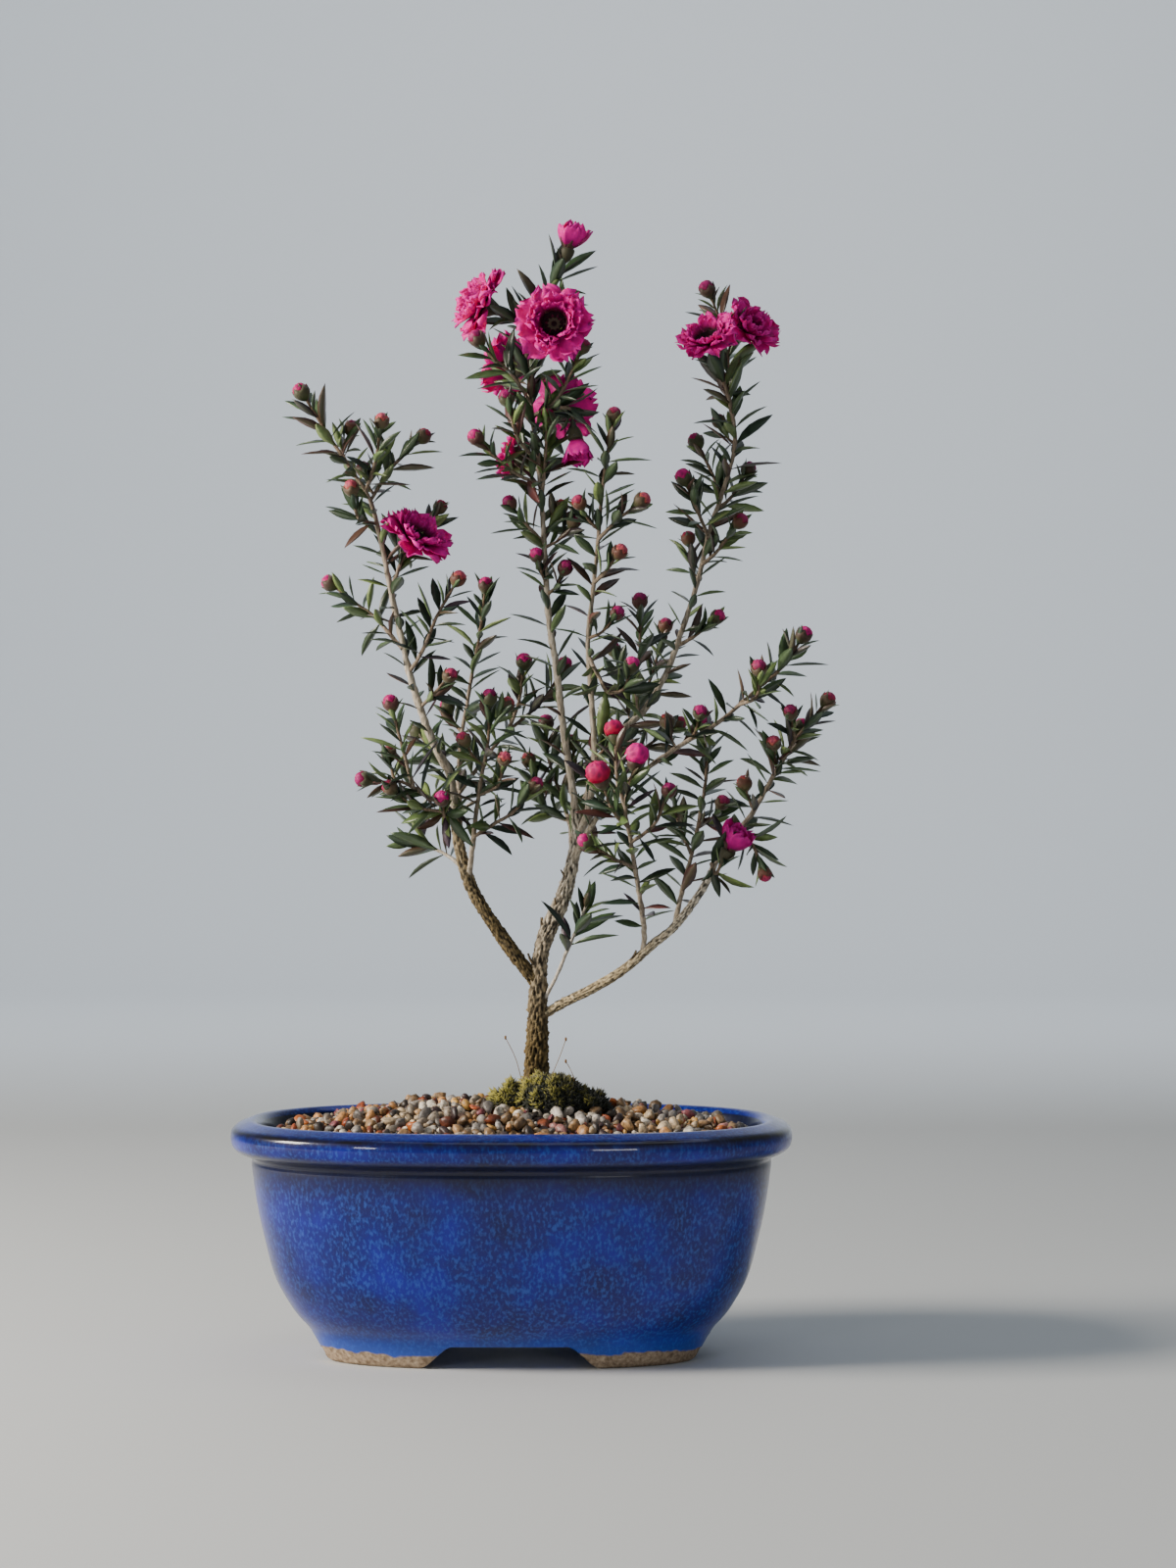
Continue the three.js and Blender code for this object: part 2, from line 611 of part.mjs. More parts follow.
// Bloom as one skin: up the cup, out under each layer of petals and back over it, and over the disc
function bloomSolid(bloom, seed) {
  const draw = seeded(seed);
  const even = (size, height) => Array.from({ length: BLOOM_SIDES }, () => [size, height]);
  const rings = [even(2.7, -1.5)];
  const widest = bloom.layers === HALF_OPEN ? 1.2 : 2.5;
  bloom.layers.forEach(([share, rise], layer) => {
    const throat = widest - 0.45 * layer;
    rings.push(petalEdge(bloom.size * share, rise, 2 * (layer % 2), throat, draw));
    rings.push(even(throat, 0.9 + 0.45 * layer));
  });
  const points = [];
  const faces = [];
  rings.forEach((ring) => ring.forEach(([reach, height], i) => {
    const angle = (2 * Math.PI * i) / BLOOM_SIDES;
    points.push(new THREE.Vector3(reach * Math.cos(angle), reach * Math.sin(angle), height));
  }));
  const bottom = points.push(new THREE.Vector3(0, 0, -CUP_LENGTH)) - 1;
  const top = points.push(new THREE.Vector3(0, 0, 1 + 0.45 * bloom.layers.length)) - 1;
  const last = (rings.length - 1) * BLOOM_SIDES;
  for (let i = 0; i < BLOOM_SIDES; i += 1) {
    const next = (i + 1) % BLOOM_SIDES;
    faces.push([bottom, next, i], [top, last + i, last + next]);
    for (let low = 0; low < last; low += BLOOM_SIDES) {
      const high = low + BLOOM_SIDES;
      faces.push([low + i, low + next, high + next], [low + i, high + next, high + i]);
    }
  }
  return pointed(solidFrom(points, faces), seen(...bloom.at), facing(bloom));
}

function facing(bloom) {
  return new THREE.Vector3(...bloom.faces).normalize();
}

function takeBloom(name, bloom) {
  const centre = seen(...bloom.at);
  const ahead = facing(bloom);
  take(centre.clone().addScaledVector(ahead, -CUP_LENGTH), centre, 2.8, name, name, 'bloom');
  const steepest = THREE.MathUtils.degToRad(bloom.layers[0][1]);
  const lift = Math.sin(0.6 * steepest) * bloom.size;
  const spread = Math.cos(0.8 * steepest) * bloom.size;
  const side = new THREE.Vector3(0, 0, 1).cross(ahead).normalize();
  const up = ahead.clone().cross(side);
  for (let i = 0; i < 12; i += 1) {
    const angle = (2 * Math.PI * i) / 12;
    const out = side.clone().multiplyScalar(Math.cos(angle)).addScaledVector(up, Math.sin(angle));
    const tip = centre.clone().addScaledVector(ahead, lift).addScaledVector(out, spread - 0.8);
    take(centre, tip, 1.6, name, name, 'bloom');
  }
}

// End of a stem that holds a bloom: straight into the cup, stopping short of it
function underCup(name) {
  const bloom = BLOOMS[name];
  const ahead = facing(bloom);
  const centre = seen(...bloom.at);
  return [-CUP_LENGTH - 3.2, -CUP_LENGTH - GAP].map((along) => centre.clone().addScaledVector(ahead, along));
}

// A twig of the usual thickness that ends in a bud of some width, or in a bloom
function budded(bud, bare, path) {
  return { thick: [0.6, 0.5], bare, bud, path };
}

function flowering(bloom, bare, path) {
  return { thick: [0.62, 0.55], bare, bloom, path };
}

// Leafy stems, node by node. Each has a half thickness at both ends, a bare length from its start, its places
// read by eye, and what it ends in: a bud of some width, a bloom, or only its last leaves.
const STEMS = {
  branch_leader: [
    { thick: [1.15, 0.6], bare: 9, bloom: 'bud_opening_top', path: [[17.4, 1, 146], [16.4, 2, 153],
      [14.5, 2, 165], [13.3, 2, 175], [12, 1, 186], [10.2, 0, 197], [9.2, -1, 212], [8.3, -1, 228],
      [7, -1, 243], [5.2, 0, 257], [4.4, 3, 273], [8, 6, 284], [13.6, 5, 293]] },
    flowering('bloom_top_front', 3, [[4.4, 3, 273], [7, 2, 276.5]]),
    flowering('bloom_top_left', 3, [[4.6, 4, 275], [2, 3, 279]]),
    flowering('bloom_back_left', 3, [[5, 1, 259], [4.5, 6, 262]]),
    flowering('bloom_back_right', 3, [[6, -0.5, 250], [8, 4, 250.5]]),
    flowering('bloom_drooping', 4, [[6, -0.5, 250], [10, -3, 255], [15, -4, 256]]),
    flowering('bloom_inner', 3, [[7.4, -1, 238], [7.2, 5, 239.5]]),
    budded(4.4, 2, [[8.1, -1, 231], [9, -4, 240], [9.3, -5, 246], [9.5, -5, 251]]),
    budded(4.6, 2, [[7.1, -1, 241], [1.5, -6, 248], [-0.8, -8, 256]]),
    budded(4.6, 2, [[7.6, -1, 235], [1, -6, 238], [-4, -9, 242], [-8, -10, 246]]),
    budded(4.8, 2, [[5.2, 0, 257], [0, -5, 265], [-5, -8, 269.5], [-7.8, -9, 272.8]]),
    budded(4.2, 2, [[5.6, 0, 253.5], [12, -4, 258], [16.5, -5, 266], [18.5, -5, 270.5]]),
    budded(4.2, 2, [[8.8, -1, 219], [4, -4, 224], [0.8, -5, 228]]),
  ],
  branch_centre: [
    { thick: [1.05, 0.55], bare: 5, bud: 4.4, path: [[17.6, 0.5, 138], [20.5, -3, 145], [22.5, -6, 156],
      [22.3, -7, 168], [21.5, -8, 180], [20.8, -8, 192], [22.3, -8, 207], [23.5, -7, 219],
      [24.4, -6, 230], [25.6, -6, 240], [27.5, -6, 251.5]] },
    { thick: [0.65, 0.5], bare: 1, bud: 4.6, path: [[20.9, -8, 188], [24, -12, 182], [26.5, -15, 178],
      [30.5, -17, 179], [32, -18, 183]] },
    budded(4.6, 2, [[23.8, -7, 220], [28, -9, 224.5], [33.5, -10, 229]]),
    budded(4.4, 2, [[22.5, -8, 208], [25.5, -10, 211], [28, -11, 214.5]]),
  ],
  branch_right_top: [
    { thick: [1.1, 0.65], bare: 14, bloom: 'bloom_right_front', path: [[17.8, 0.5, 139], [20, 5, 148],
      [23, 9, 157], [27, 13, 165], [36, 16, 173], [42.5, 17, 184], [47, 17, 196.5], [51, 18, 209],
      [54, 18, 222], [58, 17, 234], [61, 16, 246], [59.7, 14, 257]] },
    flowering('bloom_right_back', 3, [[60, 14, 255], [59, 22, 264]]),
    budded(4.2, 2, [[45.8, 17, 191], [50, 14, 193.5], [54.5, 12, 197.3]]),
    budded(4.4, 2, [[52, 18, 213], [55.5, 15, 216], [61, 13, 223]]),
    budded(4.2, 2, [[50.8, 18, 208], [49.3, 21, 212], [48.5, 23, 218]]),
    budded(4.6, 2, [[56, 18, 228], [60, 21, 231.5], [63.5, 23, 237]]),
    budded(4.8, 2, [[53.6, 18, 221], [51.5, 14, 226], [48, 11, 234.5]]),
    budded(4.8, 2, [[56.8, 17, 230], [55.6, 22, 236], [51.5, 25, 244.5]]),
    budded(4.6, 2, [[34.5, 15.5, 172], [33.9, 12, 181], [35, 10, 190], [35, 9, 200.5]]),
  ],
  branch_right_middle: [
    { thick: [0.95, 0.55], bare: 10, bud: 4.6, path: [[16.2, 0, 130.5], [22, -6, 142], [29, -10, 151.5],
      [36.5, -13, 157], [46, -17, 163.5], [56, -19, 169.5], [66, -20, 178], [75, -21, 186],
      [78.5, -21, 191.5]] },
    budded(4.6, 2, [[62, -20, 174.5], [67, -25, 177], [67.5, -28, 182.3]]),
  ],
  branch_front: [
    { thick: [0.85, 0.6], bare: 7, bud: 6.4, path: [[36, -7.4, 107.2], [36.2, -9, 112], [35.6, -12, 118],
      [34, -17, 128], [32.4, -21, 138], [31, -24, 147], [33, -26, 156.2]] },
    { thick: [0.6, 0.55], bare: 2, bud: 6.6, path: [[32, -22, 141], [28, -27, 145], [25.3, -30, 151.5]] },
    { thick: [0.6, 0.55], bare: 2, bud: 5.6, path: [[31.2, -24, 146], [29, -24, 153], [28.3, -22, 163.5]] },
    budded(4.4, 2, [[33.6, -18, 130], [27, -22, 133], [22.2, -24, 136]]),
    budded(4.2, 2, [[32.6, -20.5, 137], [39, -25, 142], [42, -27, 149]]),
  ],
  branch_right_inner: [
    { thick: [0.8, 0.5], bare: 6, bud: 4.6, path: [[44.2, -9, 113.2], [46.5, -5, 123.5], [48.5, -2, 131],
      [51, 1, 142], [53, 3, 154], [53.2, 3, 160], [53, 3, 166.5]] },
    budded(4.2, 2, [[49, -1, 134], [46, 4, 141], [44, 8, 149]]),
  ],
  branch_right_low: [
    { thick: [0.95, 0.5], bare: 6, bud: 4.4, path: [[54.6, -11, 129], [56, -11, 132], [58.5, -12, 135.5],
      [61.5, -12.5, 139.5], [65, -13, 144], [69, -13, 150.5], [72.5, -13, 157], [76, -13, 163],
      [81, -12, 169.5], [84.8, -12, 174]] },
    flowering('bloom_low_right', 2, [[54.9, -11, 130.5], [54.6, -14, 131]]),
    budded(4, 1, [[62, -12.5, 140], [66, -17, 136], [68.3, -18, 130.5]]),
    budded(4.6, 2, [[70.3, -13, 153], [74, -7, 159], [78, -4, 166.5]]),
  ],
  branch_left_top: [
    { thick: [1.3, 0.55], bare: 8, bud: 4.8, path: [[-15.7, -4, 145], [-16.1, -4.3, 150],
      [-17, -5, 155.5], [-21, -6, 163], [-25, -7, 173.5], [-28, -8, 183], [-30.5, -9, 194],
      [-33, -10, 205], [-36, -11, 220], [-39, -12, 231], [-44, -12, 239], [-50, -12, 248],
      [-56.2, -12, 258]] },
    { thick: [0.65, 0.5], bare: 3, bud: 4.6, path: [[-30, -9, 190], [-37.5, -5, 198.5], [-43.5, -2, 203],
      [-48, 0, 206.5]] },
    budded(4.4, 3, [[-28.1, -8, 183.5], [-24.5, -12, 189.5], [-20.5, -14, 199], [-16, -15, 207]]),
    budded(4.2, 1, [[-25, -7, 174], [-21.5, -11, 177.5], [-18.5, -13, 181]]),
    budded(4.2, 2, [[-40, -12, 233], [-37.5, -16, 241], [-36, -18, 250]]),
    budded(4.4, 2, [[-38.8, -12, 230.5], [-33, -9, 239.5], [-26, -6, 246.5]]),
    budded(4.4, 2, [[-45, -12, 240.5], [-46.5, -8, 244], [-44.8, -5, 248.5]]),
    flowering('bloom_left', 3, [[-33.2, -10, 206], [-31, -11, 212]]),
    budded(4, 2, [[-34.5, -10.5, 213], [-27, -4, 219], [-21, -1, 227]]),
    budded(4.4, 2, [[-36.6, -11, 224], [-42, -15, 226], [-43.5, -17, 231.5]]),
  ],
  branch_left_inner: [
    { thick: [0.85, 0.5], bare: 9, bud: 4.6, path: [[-12, -3, 127], [-11, -6, 134], [-9.8, -9, 145],
      [-8.3, -11, 155], [-6.5, -12, 165], [-6.3, -12, 174]] },
    budded(4.2, 3, [[-10.4, -7.5, 138.5], [-5, -13, 142], [0, -15, 145], [5, -17, 151]]),
    budded(4, 2, [[-9, -10, 150], [-4, -15, 152.5], [-2.5, -19, 158]]),
  ],
  branch_left_back: [
    { thick: [0.9, 0.5], bare: 6, bud: 4.4, path: [[-14, -3, 134], [-14.2, 3, 142], [-14.6, 9, 152],
      [-14, 12, 165], [-12.3, 13, 175], [-10.6, 13, 185], [-9, 13, 193], [-7.5, 12, 205]] },
    { thick: [0.65, 0.5], bare: 3, bud: 4.4, path: [[-14.4, 8, 150.5], [-9, 14, 158], [-2, 17, 166.5],
      [6, 18, 173.5], [10, 18, 178], [13.2, 17, 183.5]] },
    budded(4.6, 2, [[-1, 17, 167.5], [2, 14, 176], [3, 12, 184]]),
    budded(4.4, 2, [[-14.4, 9.5, 154], [-20, 15, 160], [-25, 22, 166]]),
  ],
  branch_left_low: [
    { thick: [0.8, 0.5], bare: 4, bud: 4.6, path: [[-15.3, -4, 142], [-17, -8, 146], [-24, -13, 150],
      [-30, -15, 153.5], [-34, -16, 153.5], [-38, -17, 154]] },
    budded(4.6, 2, [[-27, -14, 152], [-29.2, -17, 160], [-32.5, -18, 172.5]]),
    budded(4.4, 1, [[-18, -9, 146.8], [-18.6, -15, 144], [-19, -18, 147]]),
  ],
  branch_left_lowest: [
    { thick: [0.65, 0.5], bare: 5, path: [[-13, -3, 129.5], [-17, 0, 133], [-22, 4, 135.5],
      [-28, 7, 136.8]] },
    { thick: [0.6, 0.5], bare: 2, path: [[-23, 5, 135.8], [-25, 7, 139], [-25.5, 8, 145]] },
  ],
  twig_trunk: [
    { thick: [0.6, 0.5], bare: 16, path: [[8.8, 0, 94], [12, -5, 100], [16, -9, 109.5], [19, -11, 116],
      [20.5, -12, 120.5]] },
  ],
  branch_back: [
    { thick: [0.85, 0.5], bare: 8, bud: 4.6, path: [[16.4, 0, 131], [16, 9, 141], [13, 18, 151],
      [10, 23, 160], [9.5, 25, 167.3]] },
    budded(4.4, 2, [[13.2, 17.5, 150.5], [17.5, 23, 155], [16.7, 27, 162.3]]),
    budded(4.2, 2, [[15.5, 10.5, 143], [9, 14, 146], [5.2, 17, 157.5]]),
  ],
  branch_back_right: [
    { thick: [0.85, 0.5], bare: 8, bud: 4.4, path: [[17.6, 0.3, 138], [22, 10, 145], [27, 20, 155],
      [32, 27, 168], [38, 31, 182], [41.3, 32, 194]] },
    budded(4.6, 2, [[28, 21.5, 157.5], [35, 24, 162], [43.5, 26, 168]]),
    budded(4.4, 2, [[32.6, 27.5, 169.5], [31, 33, 178], [28.5, 35, 187.5]]),
  ],
};

// Buds on short spurs of the nearest stem of their node: x, y, z and width
const SPUR_BUDS = {
  branch_leader: [
    [13.5, -4, 210, 4.4], [7.3, -5, 213.5, 4.2], [12.5, 3, 227, 4.2], [15.5, -3, 223, 4.2],
  ],
  branch_centre: [[27.5, -12, 198, 4], [19.5, -10, 228, 4.2], [26.5, -10, 165, 4.2]],
  branch_right_top: [[57.5, 20, 250.5, 4.2], [54.5, 20, 286, 4.8]],
  branch_right_middle: [[51, -23, 170.5, 4.2], [43, -12, 168, 4.4]],
  branch_right_inner: [[56.3, -3, 146, 4.2]],
  branch_right_low: [[71.8, -17, 162, 4.2], [64.2, -9, 151, 4.4], [76.5, -17, 170.5, 4.2]],
  branch_left_top: [[-40, -8, 237, 4.4]],
  branch_left_inner: [[-2.5, -10, 172.5, 4.4], [-12, -12, 163, 4.2]],
  branch_left_back: [[-16.8, 15, 172, 4.4]],
  branch_left_low: [[-33.3, -12, 159, 4.4], [-31.5, -19, 150.5, 4.2]],
};

// Spur from the nearest place on the node's stems, low enough for the spur to rise to its bud
function spurFor(node, curves, [x, y, z, width]) {
  const end = seen(x, y, z);
  let best = null;
  curves.forEach(({ curve }) => {
    const count = Math.ceil(curve.getLength() / 1.5);
    for (let i = 2; i < count; i += 1) {
      const place = curve.getPointAt(i / count);
      const score = place.distanceTo(end) + 2 * Math.max(0, place.z - end.z + 5);
      if (!best || score < best.score) best = { place, score };
    }
  });
  const middle = best.place.clone().lerp(end, 0.6);
  middle.z -= 0.12 * best.place.distanceTo(end);
  return { thick: [0.55, 0.5], bare: 0.6, bud: width, spots: [best.place, middle, end] };
}

function curveOf(stem) {
  const spots = stem.spots || stem.path.map((place) => seen(...place));
  return new THREE.CatmullRomCurve3(
    stem.bloom ? [...spots, ...underCup(stem.bloom)] : spots,
    false,
    'centripetal',
  );
}

// Rings of a leafy stem: a few along its bare part, then a pair for the foot of each group of leaves
function leafyRings(stem, length, sides) {
  const facesPerTurn = Math.round((TURN_PER_LEAF * sides) / (2 * Math.PI));
  const twist = TURN_PER_LEAF - (facesPerTurn * 2 * Math.PI) / sides;
  const thickAt = (at) => THREE.MathUtils.lerp(stem.thick[0], stem.thick[1], at / length);
  const feet = [];
  for (let at = length - LEAF_FOOT / 2; at > stem.bare + 1; at -= Math.min(9 + 0.5 * (length - at), 19)) {
    feet.unshift(at);
  }
  const bareEnd = feet.length ? feet[0] - LEAF_FOOT / 2 - 0.8 : length;
  const count = Math.max(1, Math.ceil(bareEnd / 8));
  const rings = [];
  for (let i = 0; i < (feet.length ? count : count + 1); i += 1) {
    const at = (bareEnd * i) / count;
    rings.push({ at, radius: thickAt(at), turn: 0 });
  }
  feet.forEach((at, k) => {
    const turn = k * twist;
    const first = (k * facesPerTurn) % sides;
    const rank = feet.length - 1 - k;
    const radius = thickAt(at);
    rings.push({ at: at - LEAF_FOOT / 2, radius, turn, foot: at, first, rank });
    rings.push({ at: at + LEAF_FOOT / 2, radius, turn });
    const gap = feet[k + 1] - at;
    if (gap > 9) rings.push({ at: at + gap / 2, radius: thickAt(at), turn: turn + twist / 2 });
  });
  return rings;
}

// One leaf on a face of the stem, or nothing if each way of setting it would touch something
function leafOn(frame, ring, face, sides, stem, node, key, draw) {
  const angle = ring.turn + (face * 2 * Math.PI) / sides;
  const [cosine, sine] = [Math.cos(angle), Math.sin(angle)];
  const out = frame.normal.clone().multiplyScalar(cosine).addScaledVector(frame.side, sine);
  const across = frame.side.clone().multiplyScalar(cosine).addScaledVector(frame.normal, -sine);
  const root = frame.centre.clone().addScaledVector(out, ring.radius * Math.cos(Math.PI / sides));
  for (let attempt = 0; attempt < 5; attempt += 1) {
    const usual = stem.bud || stem.bloom ? 7.6 : 9.5;
    const length = usual * (0.8 + 0.5 * draw()) * (1 - 0.07 * attempt);
    const width = 1.7 + 0.08 * length * (0.6 + 0.6 * draw());
    const degrees = Math.min(38 + 5 * ring.rank, 66) + 20 * (draw() - 0.5) + 6 * attempt;
    const lean = THREE.MathUtils.degToRad(degrees);
    const along = frame.ahead.clone().multiplyScalar(Math.cos(lean)).addScaledVector(out, Math.sin(lean));
    const roll = 0.7 * (draw() - 0.5);
    const tilted = across.clone().applyAxisAngle(along, roll);
    const over = along.clone().cross(tilted);
    const curl = 0.1 * length * (draw() - 0.3);
    const tip = root.clone().addScaledVector(along, length).addScaledVector(over, curl);
    const blade = { from: root.clone().lerp(tip, 0.35), to: tip };
    const piece = { from: root, to: tip, radius: width / 2, node, stem: key, blade };
    if (isFree(piece)) {
      take(root, tip, width / 2, node, key, 'leaf');
      return { face, root, along, across: tilted, over, tip, length, width };
    }
  }
  return null;
}

function leafyStemSolid(stem, curve, node, key, seed) {
  const draw = seeded(seed);
  const sides = 3;
  const length = curve.getLength() - (stem.bud ? 0.6 * stem.bud : 0);
  const rings = leafyRings(stem, length, sides);
  const frames = framesAlong(curve, rings);
  rings.forEach((ring, i) => {
    if (ring.foot === undefined) return;
    const wanted = ring.rank === 0 && stem.thick[0] > 0.6 ? 3 : 2;
    const faces = Array.from({ length: wanted }, (_, n) => (ring.first + n) % sides);
    ring.leaves = faces
      .map((face) => leafOn(frames[i], ring, face, sides, stem, node, key, draw))
      .filter((leaf) => leaf);
  });
  return stemSolid(curve, rings, sides, stem.bud);
}

// All stems with their curves, before any leaf is set
function plannedStems() {
  return Object.entries(STEMS).flatMap(([node, stems]) => {
    const drawn = stems.map((stem) => ({ node, stem, curve: curveOf(stem) }));
    const spurs = (SPUR_BUDS[node] || []).map((bud) => spurFor(node, drawn, bud));
    return [...drawn, ...spurs.map((stem) => ({ node, stem, curve: curveOf(stem) }))];
  });
}

function leafyBranches(trunkWithGap) {
  const planned = plannedStems();
  [TRUNK, LEFT_LIMB, RIGHT_LIMB].forEach((limb) => {
    takeCurve(curveThrough(limb), [limb[1][3], limb[limb.length - 1][3]], 'trunk', 'trunk');
  });
  Object.entries(BLOOMS).forEach(([name, bloom]) => takeBloom(name, bloom));
  planned.forEach(({ node, stem, curve }, i) => {
    takeCurve(curve, stem.thick, node, i);
    if (stem.bud) take(curve.getPointAt(1), curve.getPointAt(1), 0.62 * stem.bud, node, i, 'bud');
  });
  const solids = new Map();
  planned.forEach(({ node, stem, curve }, i) => {
    const solid = leafyStemSolid(stem, curve, node, i, 100 + i);
    solids.set(node, [...(solids.get(node) || []), solid]);
  });
  return [...solids].map(([node, bodies]) => [node, joined(bodies).subtract(trunkWithGap)]);
}

// The parts of the whole, each with its colour
const trunkWithGap = trunkSolid(GAP);
const parts = [
  ['pot', potSolid(), COBALT],
  ['drain_screen', screenSolid(), MESH_BLACK],
  ['soil', soilSolid(trunkWithGap), SOIL_BROWN],
  ['gravel', gravelSolid(trunkWithGap, mossSolid(3 * GAP, MOSS_BOTTOM - GAP, false)), PEBBLE],
  ['moss', mossSolid(0, MOSS_BOTTOM, true).subtract(trunkWithGap), MOSS_GREEN],
  ['trunk', trunkSolid(0), BARK],
  ...leafyBranches(trunkWithGap).map(([name, made]) => [name, made, LEAF_GREEN]),
  ...Object.entries(BLOOMS).map(([name, bloom], i) => [name, bloomSolid(bloom, 40 + i), PETAL_PINK]),
];

const group = new THREE.Group();
parts.forEach(([name, made, colour]) => {
  const mesh = new THREE.Mesh(geometryFrom(made), new THREE.MeshStandardMaterial({ color: colour }));
  mesh.name = name;
  group.add(mesh);
});

// The middle of the whole stands over the origin
const middle = new THREE.Box3().setFromObject(group).getCenter(new THREE.Vector3());
group.children.forEach((mesh) => mesh.geometry.translate(-middle.x, -middle.y, 0));

export default group;
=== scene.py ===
"""A burgundy queen tea tree grown as a small bonsai in a blue oval pot, after a photograph."""

import bpy
import numpy as np
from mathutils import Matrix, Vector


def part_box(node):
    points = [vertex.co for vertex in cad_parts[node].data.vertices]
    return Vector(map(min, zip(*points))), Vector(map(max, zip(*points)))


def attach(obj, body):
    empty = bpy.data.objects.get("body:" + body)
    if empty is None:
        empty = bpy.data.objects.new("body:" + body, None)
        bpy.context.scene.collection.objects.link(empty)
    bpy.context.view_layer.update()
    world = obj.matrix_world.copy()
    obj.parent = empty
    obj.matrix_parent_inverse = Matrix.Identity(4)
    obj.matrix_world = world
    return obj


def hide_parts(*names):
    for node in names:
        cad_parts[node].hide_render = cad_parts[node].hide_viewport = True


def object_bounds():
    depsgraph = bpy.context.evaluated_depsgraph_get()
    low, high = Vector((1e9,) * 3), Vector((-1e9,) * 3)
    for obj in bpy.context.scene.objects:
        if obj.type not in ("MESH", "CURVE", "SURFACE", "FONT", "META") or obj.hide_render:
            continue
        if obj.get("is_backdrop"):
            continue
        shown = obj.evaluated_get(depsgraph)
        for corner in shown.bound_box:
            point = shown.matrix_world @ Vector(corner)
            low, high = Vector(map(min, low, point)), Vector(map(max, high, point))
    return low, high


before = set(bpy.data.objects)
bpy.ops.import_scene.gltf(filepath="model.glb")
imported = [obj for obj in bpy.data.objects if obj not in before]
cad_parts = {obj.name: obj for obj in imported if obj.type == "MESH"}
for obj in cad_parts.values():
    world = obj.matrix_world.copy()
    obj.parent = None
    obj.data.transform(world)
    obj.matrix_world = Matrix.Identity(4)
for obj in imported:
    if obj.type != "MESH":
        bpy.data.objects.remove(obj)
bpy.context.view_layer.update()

# The set: a level camera under a metre in front of the tree, a plain pale sheet that curves up far
# behind it, a large soft lamp on the left for the window, two small panes in front that show in the
# glaze, weak light from the right and from above, and a lamp behind that lights only the backdrop.
EYE = np.array([20.8, -930.0, 156.0])  # mm from the middle of the pot's foot
LENS = 78.0  # mm, for a picture whose long side is 36 mm
LAMPS = {  # place in m, width and height in m, power in W, colour
    "window": ((-1.0, -0.27, 0.55), (0.36, 0.36), 27.0, "#fff4e6"),
    "pane": ((0.50, -1.50, 0.27), (0.34, 0.12), 1.5, "#ffffff"),
    "left pane": ((-0.80, -1.25, 0.34), (0.20, 0.12), 1.6, "#ffffff"),
    "fill": ((0.95, -0.7, 0.5), (0.9, 0.9), 0.45, "#e4ecff"),
    "sky": ((0.2, 0.1, 1.3), (0.9, 0.9), 2.6, "#eaf1ff"),
    "backdrop": ((0.0, 0.9, 1.1), (2.4, 0.7), 32.0, "#eef4ff"),
}
LAMP_AIM = (0, 0, 0.13)  # m, the tree's middle
BACKDROP_AIM = (0, 2.6, 0.65)
ROOM_LIGHT = 0.3
FLOOR_START, SWEEP_START, SWEEP_RADIUS, BACKDROP_TOP, FLOOR_SIDE = -3, 1.6, 0.9, 4, 4  # m
pot_low, pot_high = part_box("pot")
POT_MIDDLE = np.array([500 * (pot_low[0] + pot_high[0]), 500 * (pot_low[1] + pot_high[1]), 0.0])


def linear(colour):
    """Linear red, green, blue and alpha of an sRGB hex colour: each share c becomes c / 12.92 below
    0.04045 and ((c + 0.055) / 1.055) to the power 2.4 above it."""
    share = np.array([int(colour[k : k + 2], 16) / 255 for k in (1, 3, 5)])
    rgb = np.where(share < 0.04045, share / 12.92, ((share + 0.055) / 1.055) ** 2.4)
    return (*rgb.tolist(), 1.0)


def add(material, kind, sockets=None, stops=(), **settings):
    """One shader node of material. Sockets maps an input's name or number to a value or to another
    node's output, settings are the node's own properties, and stops are a colour ramp's places and
    colours."""
    node = material.node_tree.nodes.new("ShaderNode" + kind)
    for key, value in settings.items():
        setattr(node, key, value)
    for k, (place, colour) in enumerate(stops):
        ramp = node.color_ramp.elements
        stop = ramp[k] if k < len(ramp) else ramp.new(place)
        stop.position = place
        stop.color = linear(colour)
    link(material, node, sockets or {})
    return node


def link(material, node, sockets):
    """Sets each input of a node that sockets names, to a value or from another node's output."""
    for key, value in sockets.items():
        if isinstance(value, bpy.types.NodeSocket):
            material.node_tree.links.new(value, node.inputs[key])
        else:
            node.inputs[key].default_value = value


def new_material(name):
    """A material with only its principled shader, and that shader."""
    material = bpy.data.materials.new(name)
    material.use_nodes = True
    return material, material.node_tree.nodes["Principled BSDF"]


def place_object(name, data, spot=(0, 0, 0)):
    """An object that shows data, linked to the scene at a spot in m."""
    made = bpy.data.objects.new(name, data)
    made.location = spot
    bpy.context.scene.collection.objects.link(made)
    return made


camera_data = bpy.data.cameras.new("camera")
camera_data.lens = LENS
camera_data.sensor_width = 36
camera_data.clip_start = 0.01
camera = place_object("camera", camera_data, (EYE + POT_MIDDLE) / 1000)
camera.rotation_euler = (np.pi / 2, 0, 0)
bpy.context.scene.camera = camera

world = bpy.data.worlds.new("pale room")
world.use_nodes = True
world.node_tree.nodes["Background"].inputs["Color"].default_value = linear("#cfd6dc")
world.node_tree.nodes["Background"].inputs["Strength"].default_value = ROOM_LIGHT
bpy.context.scene.world = world

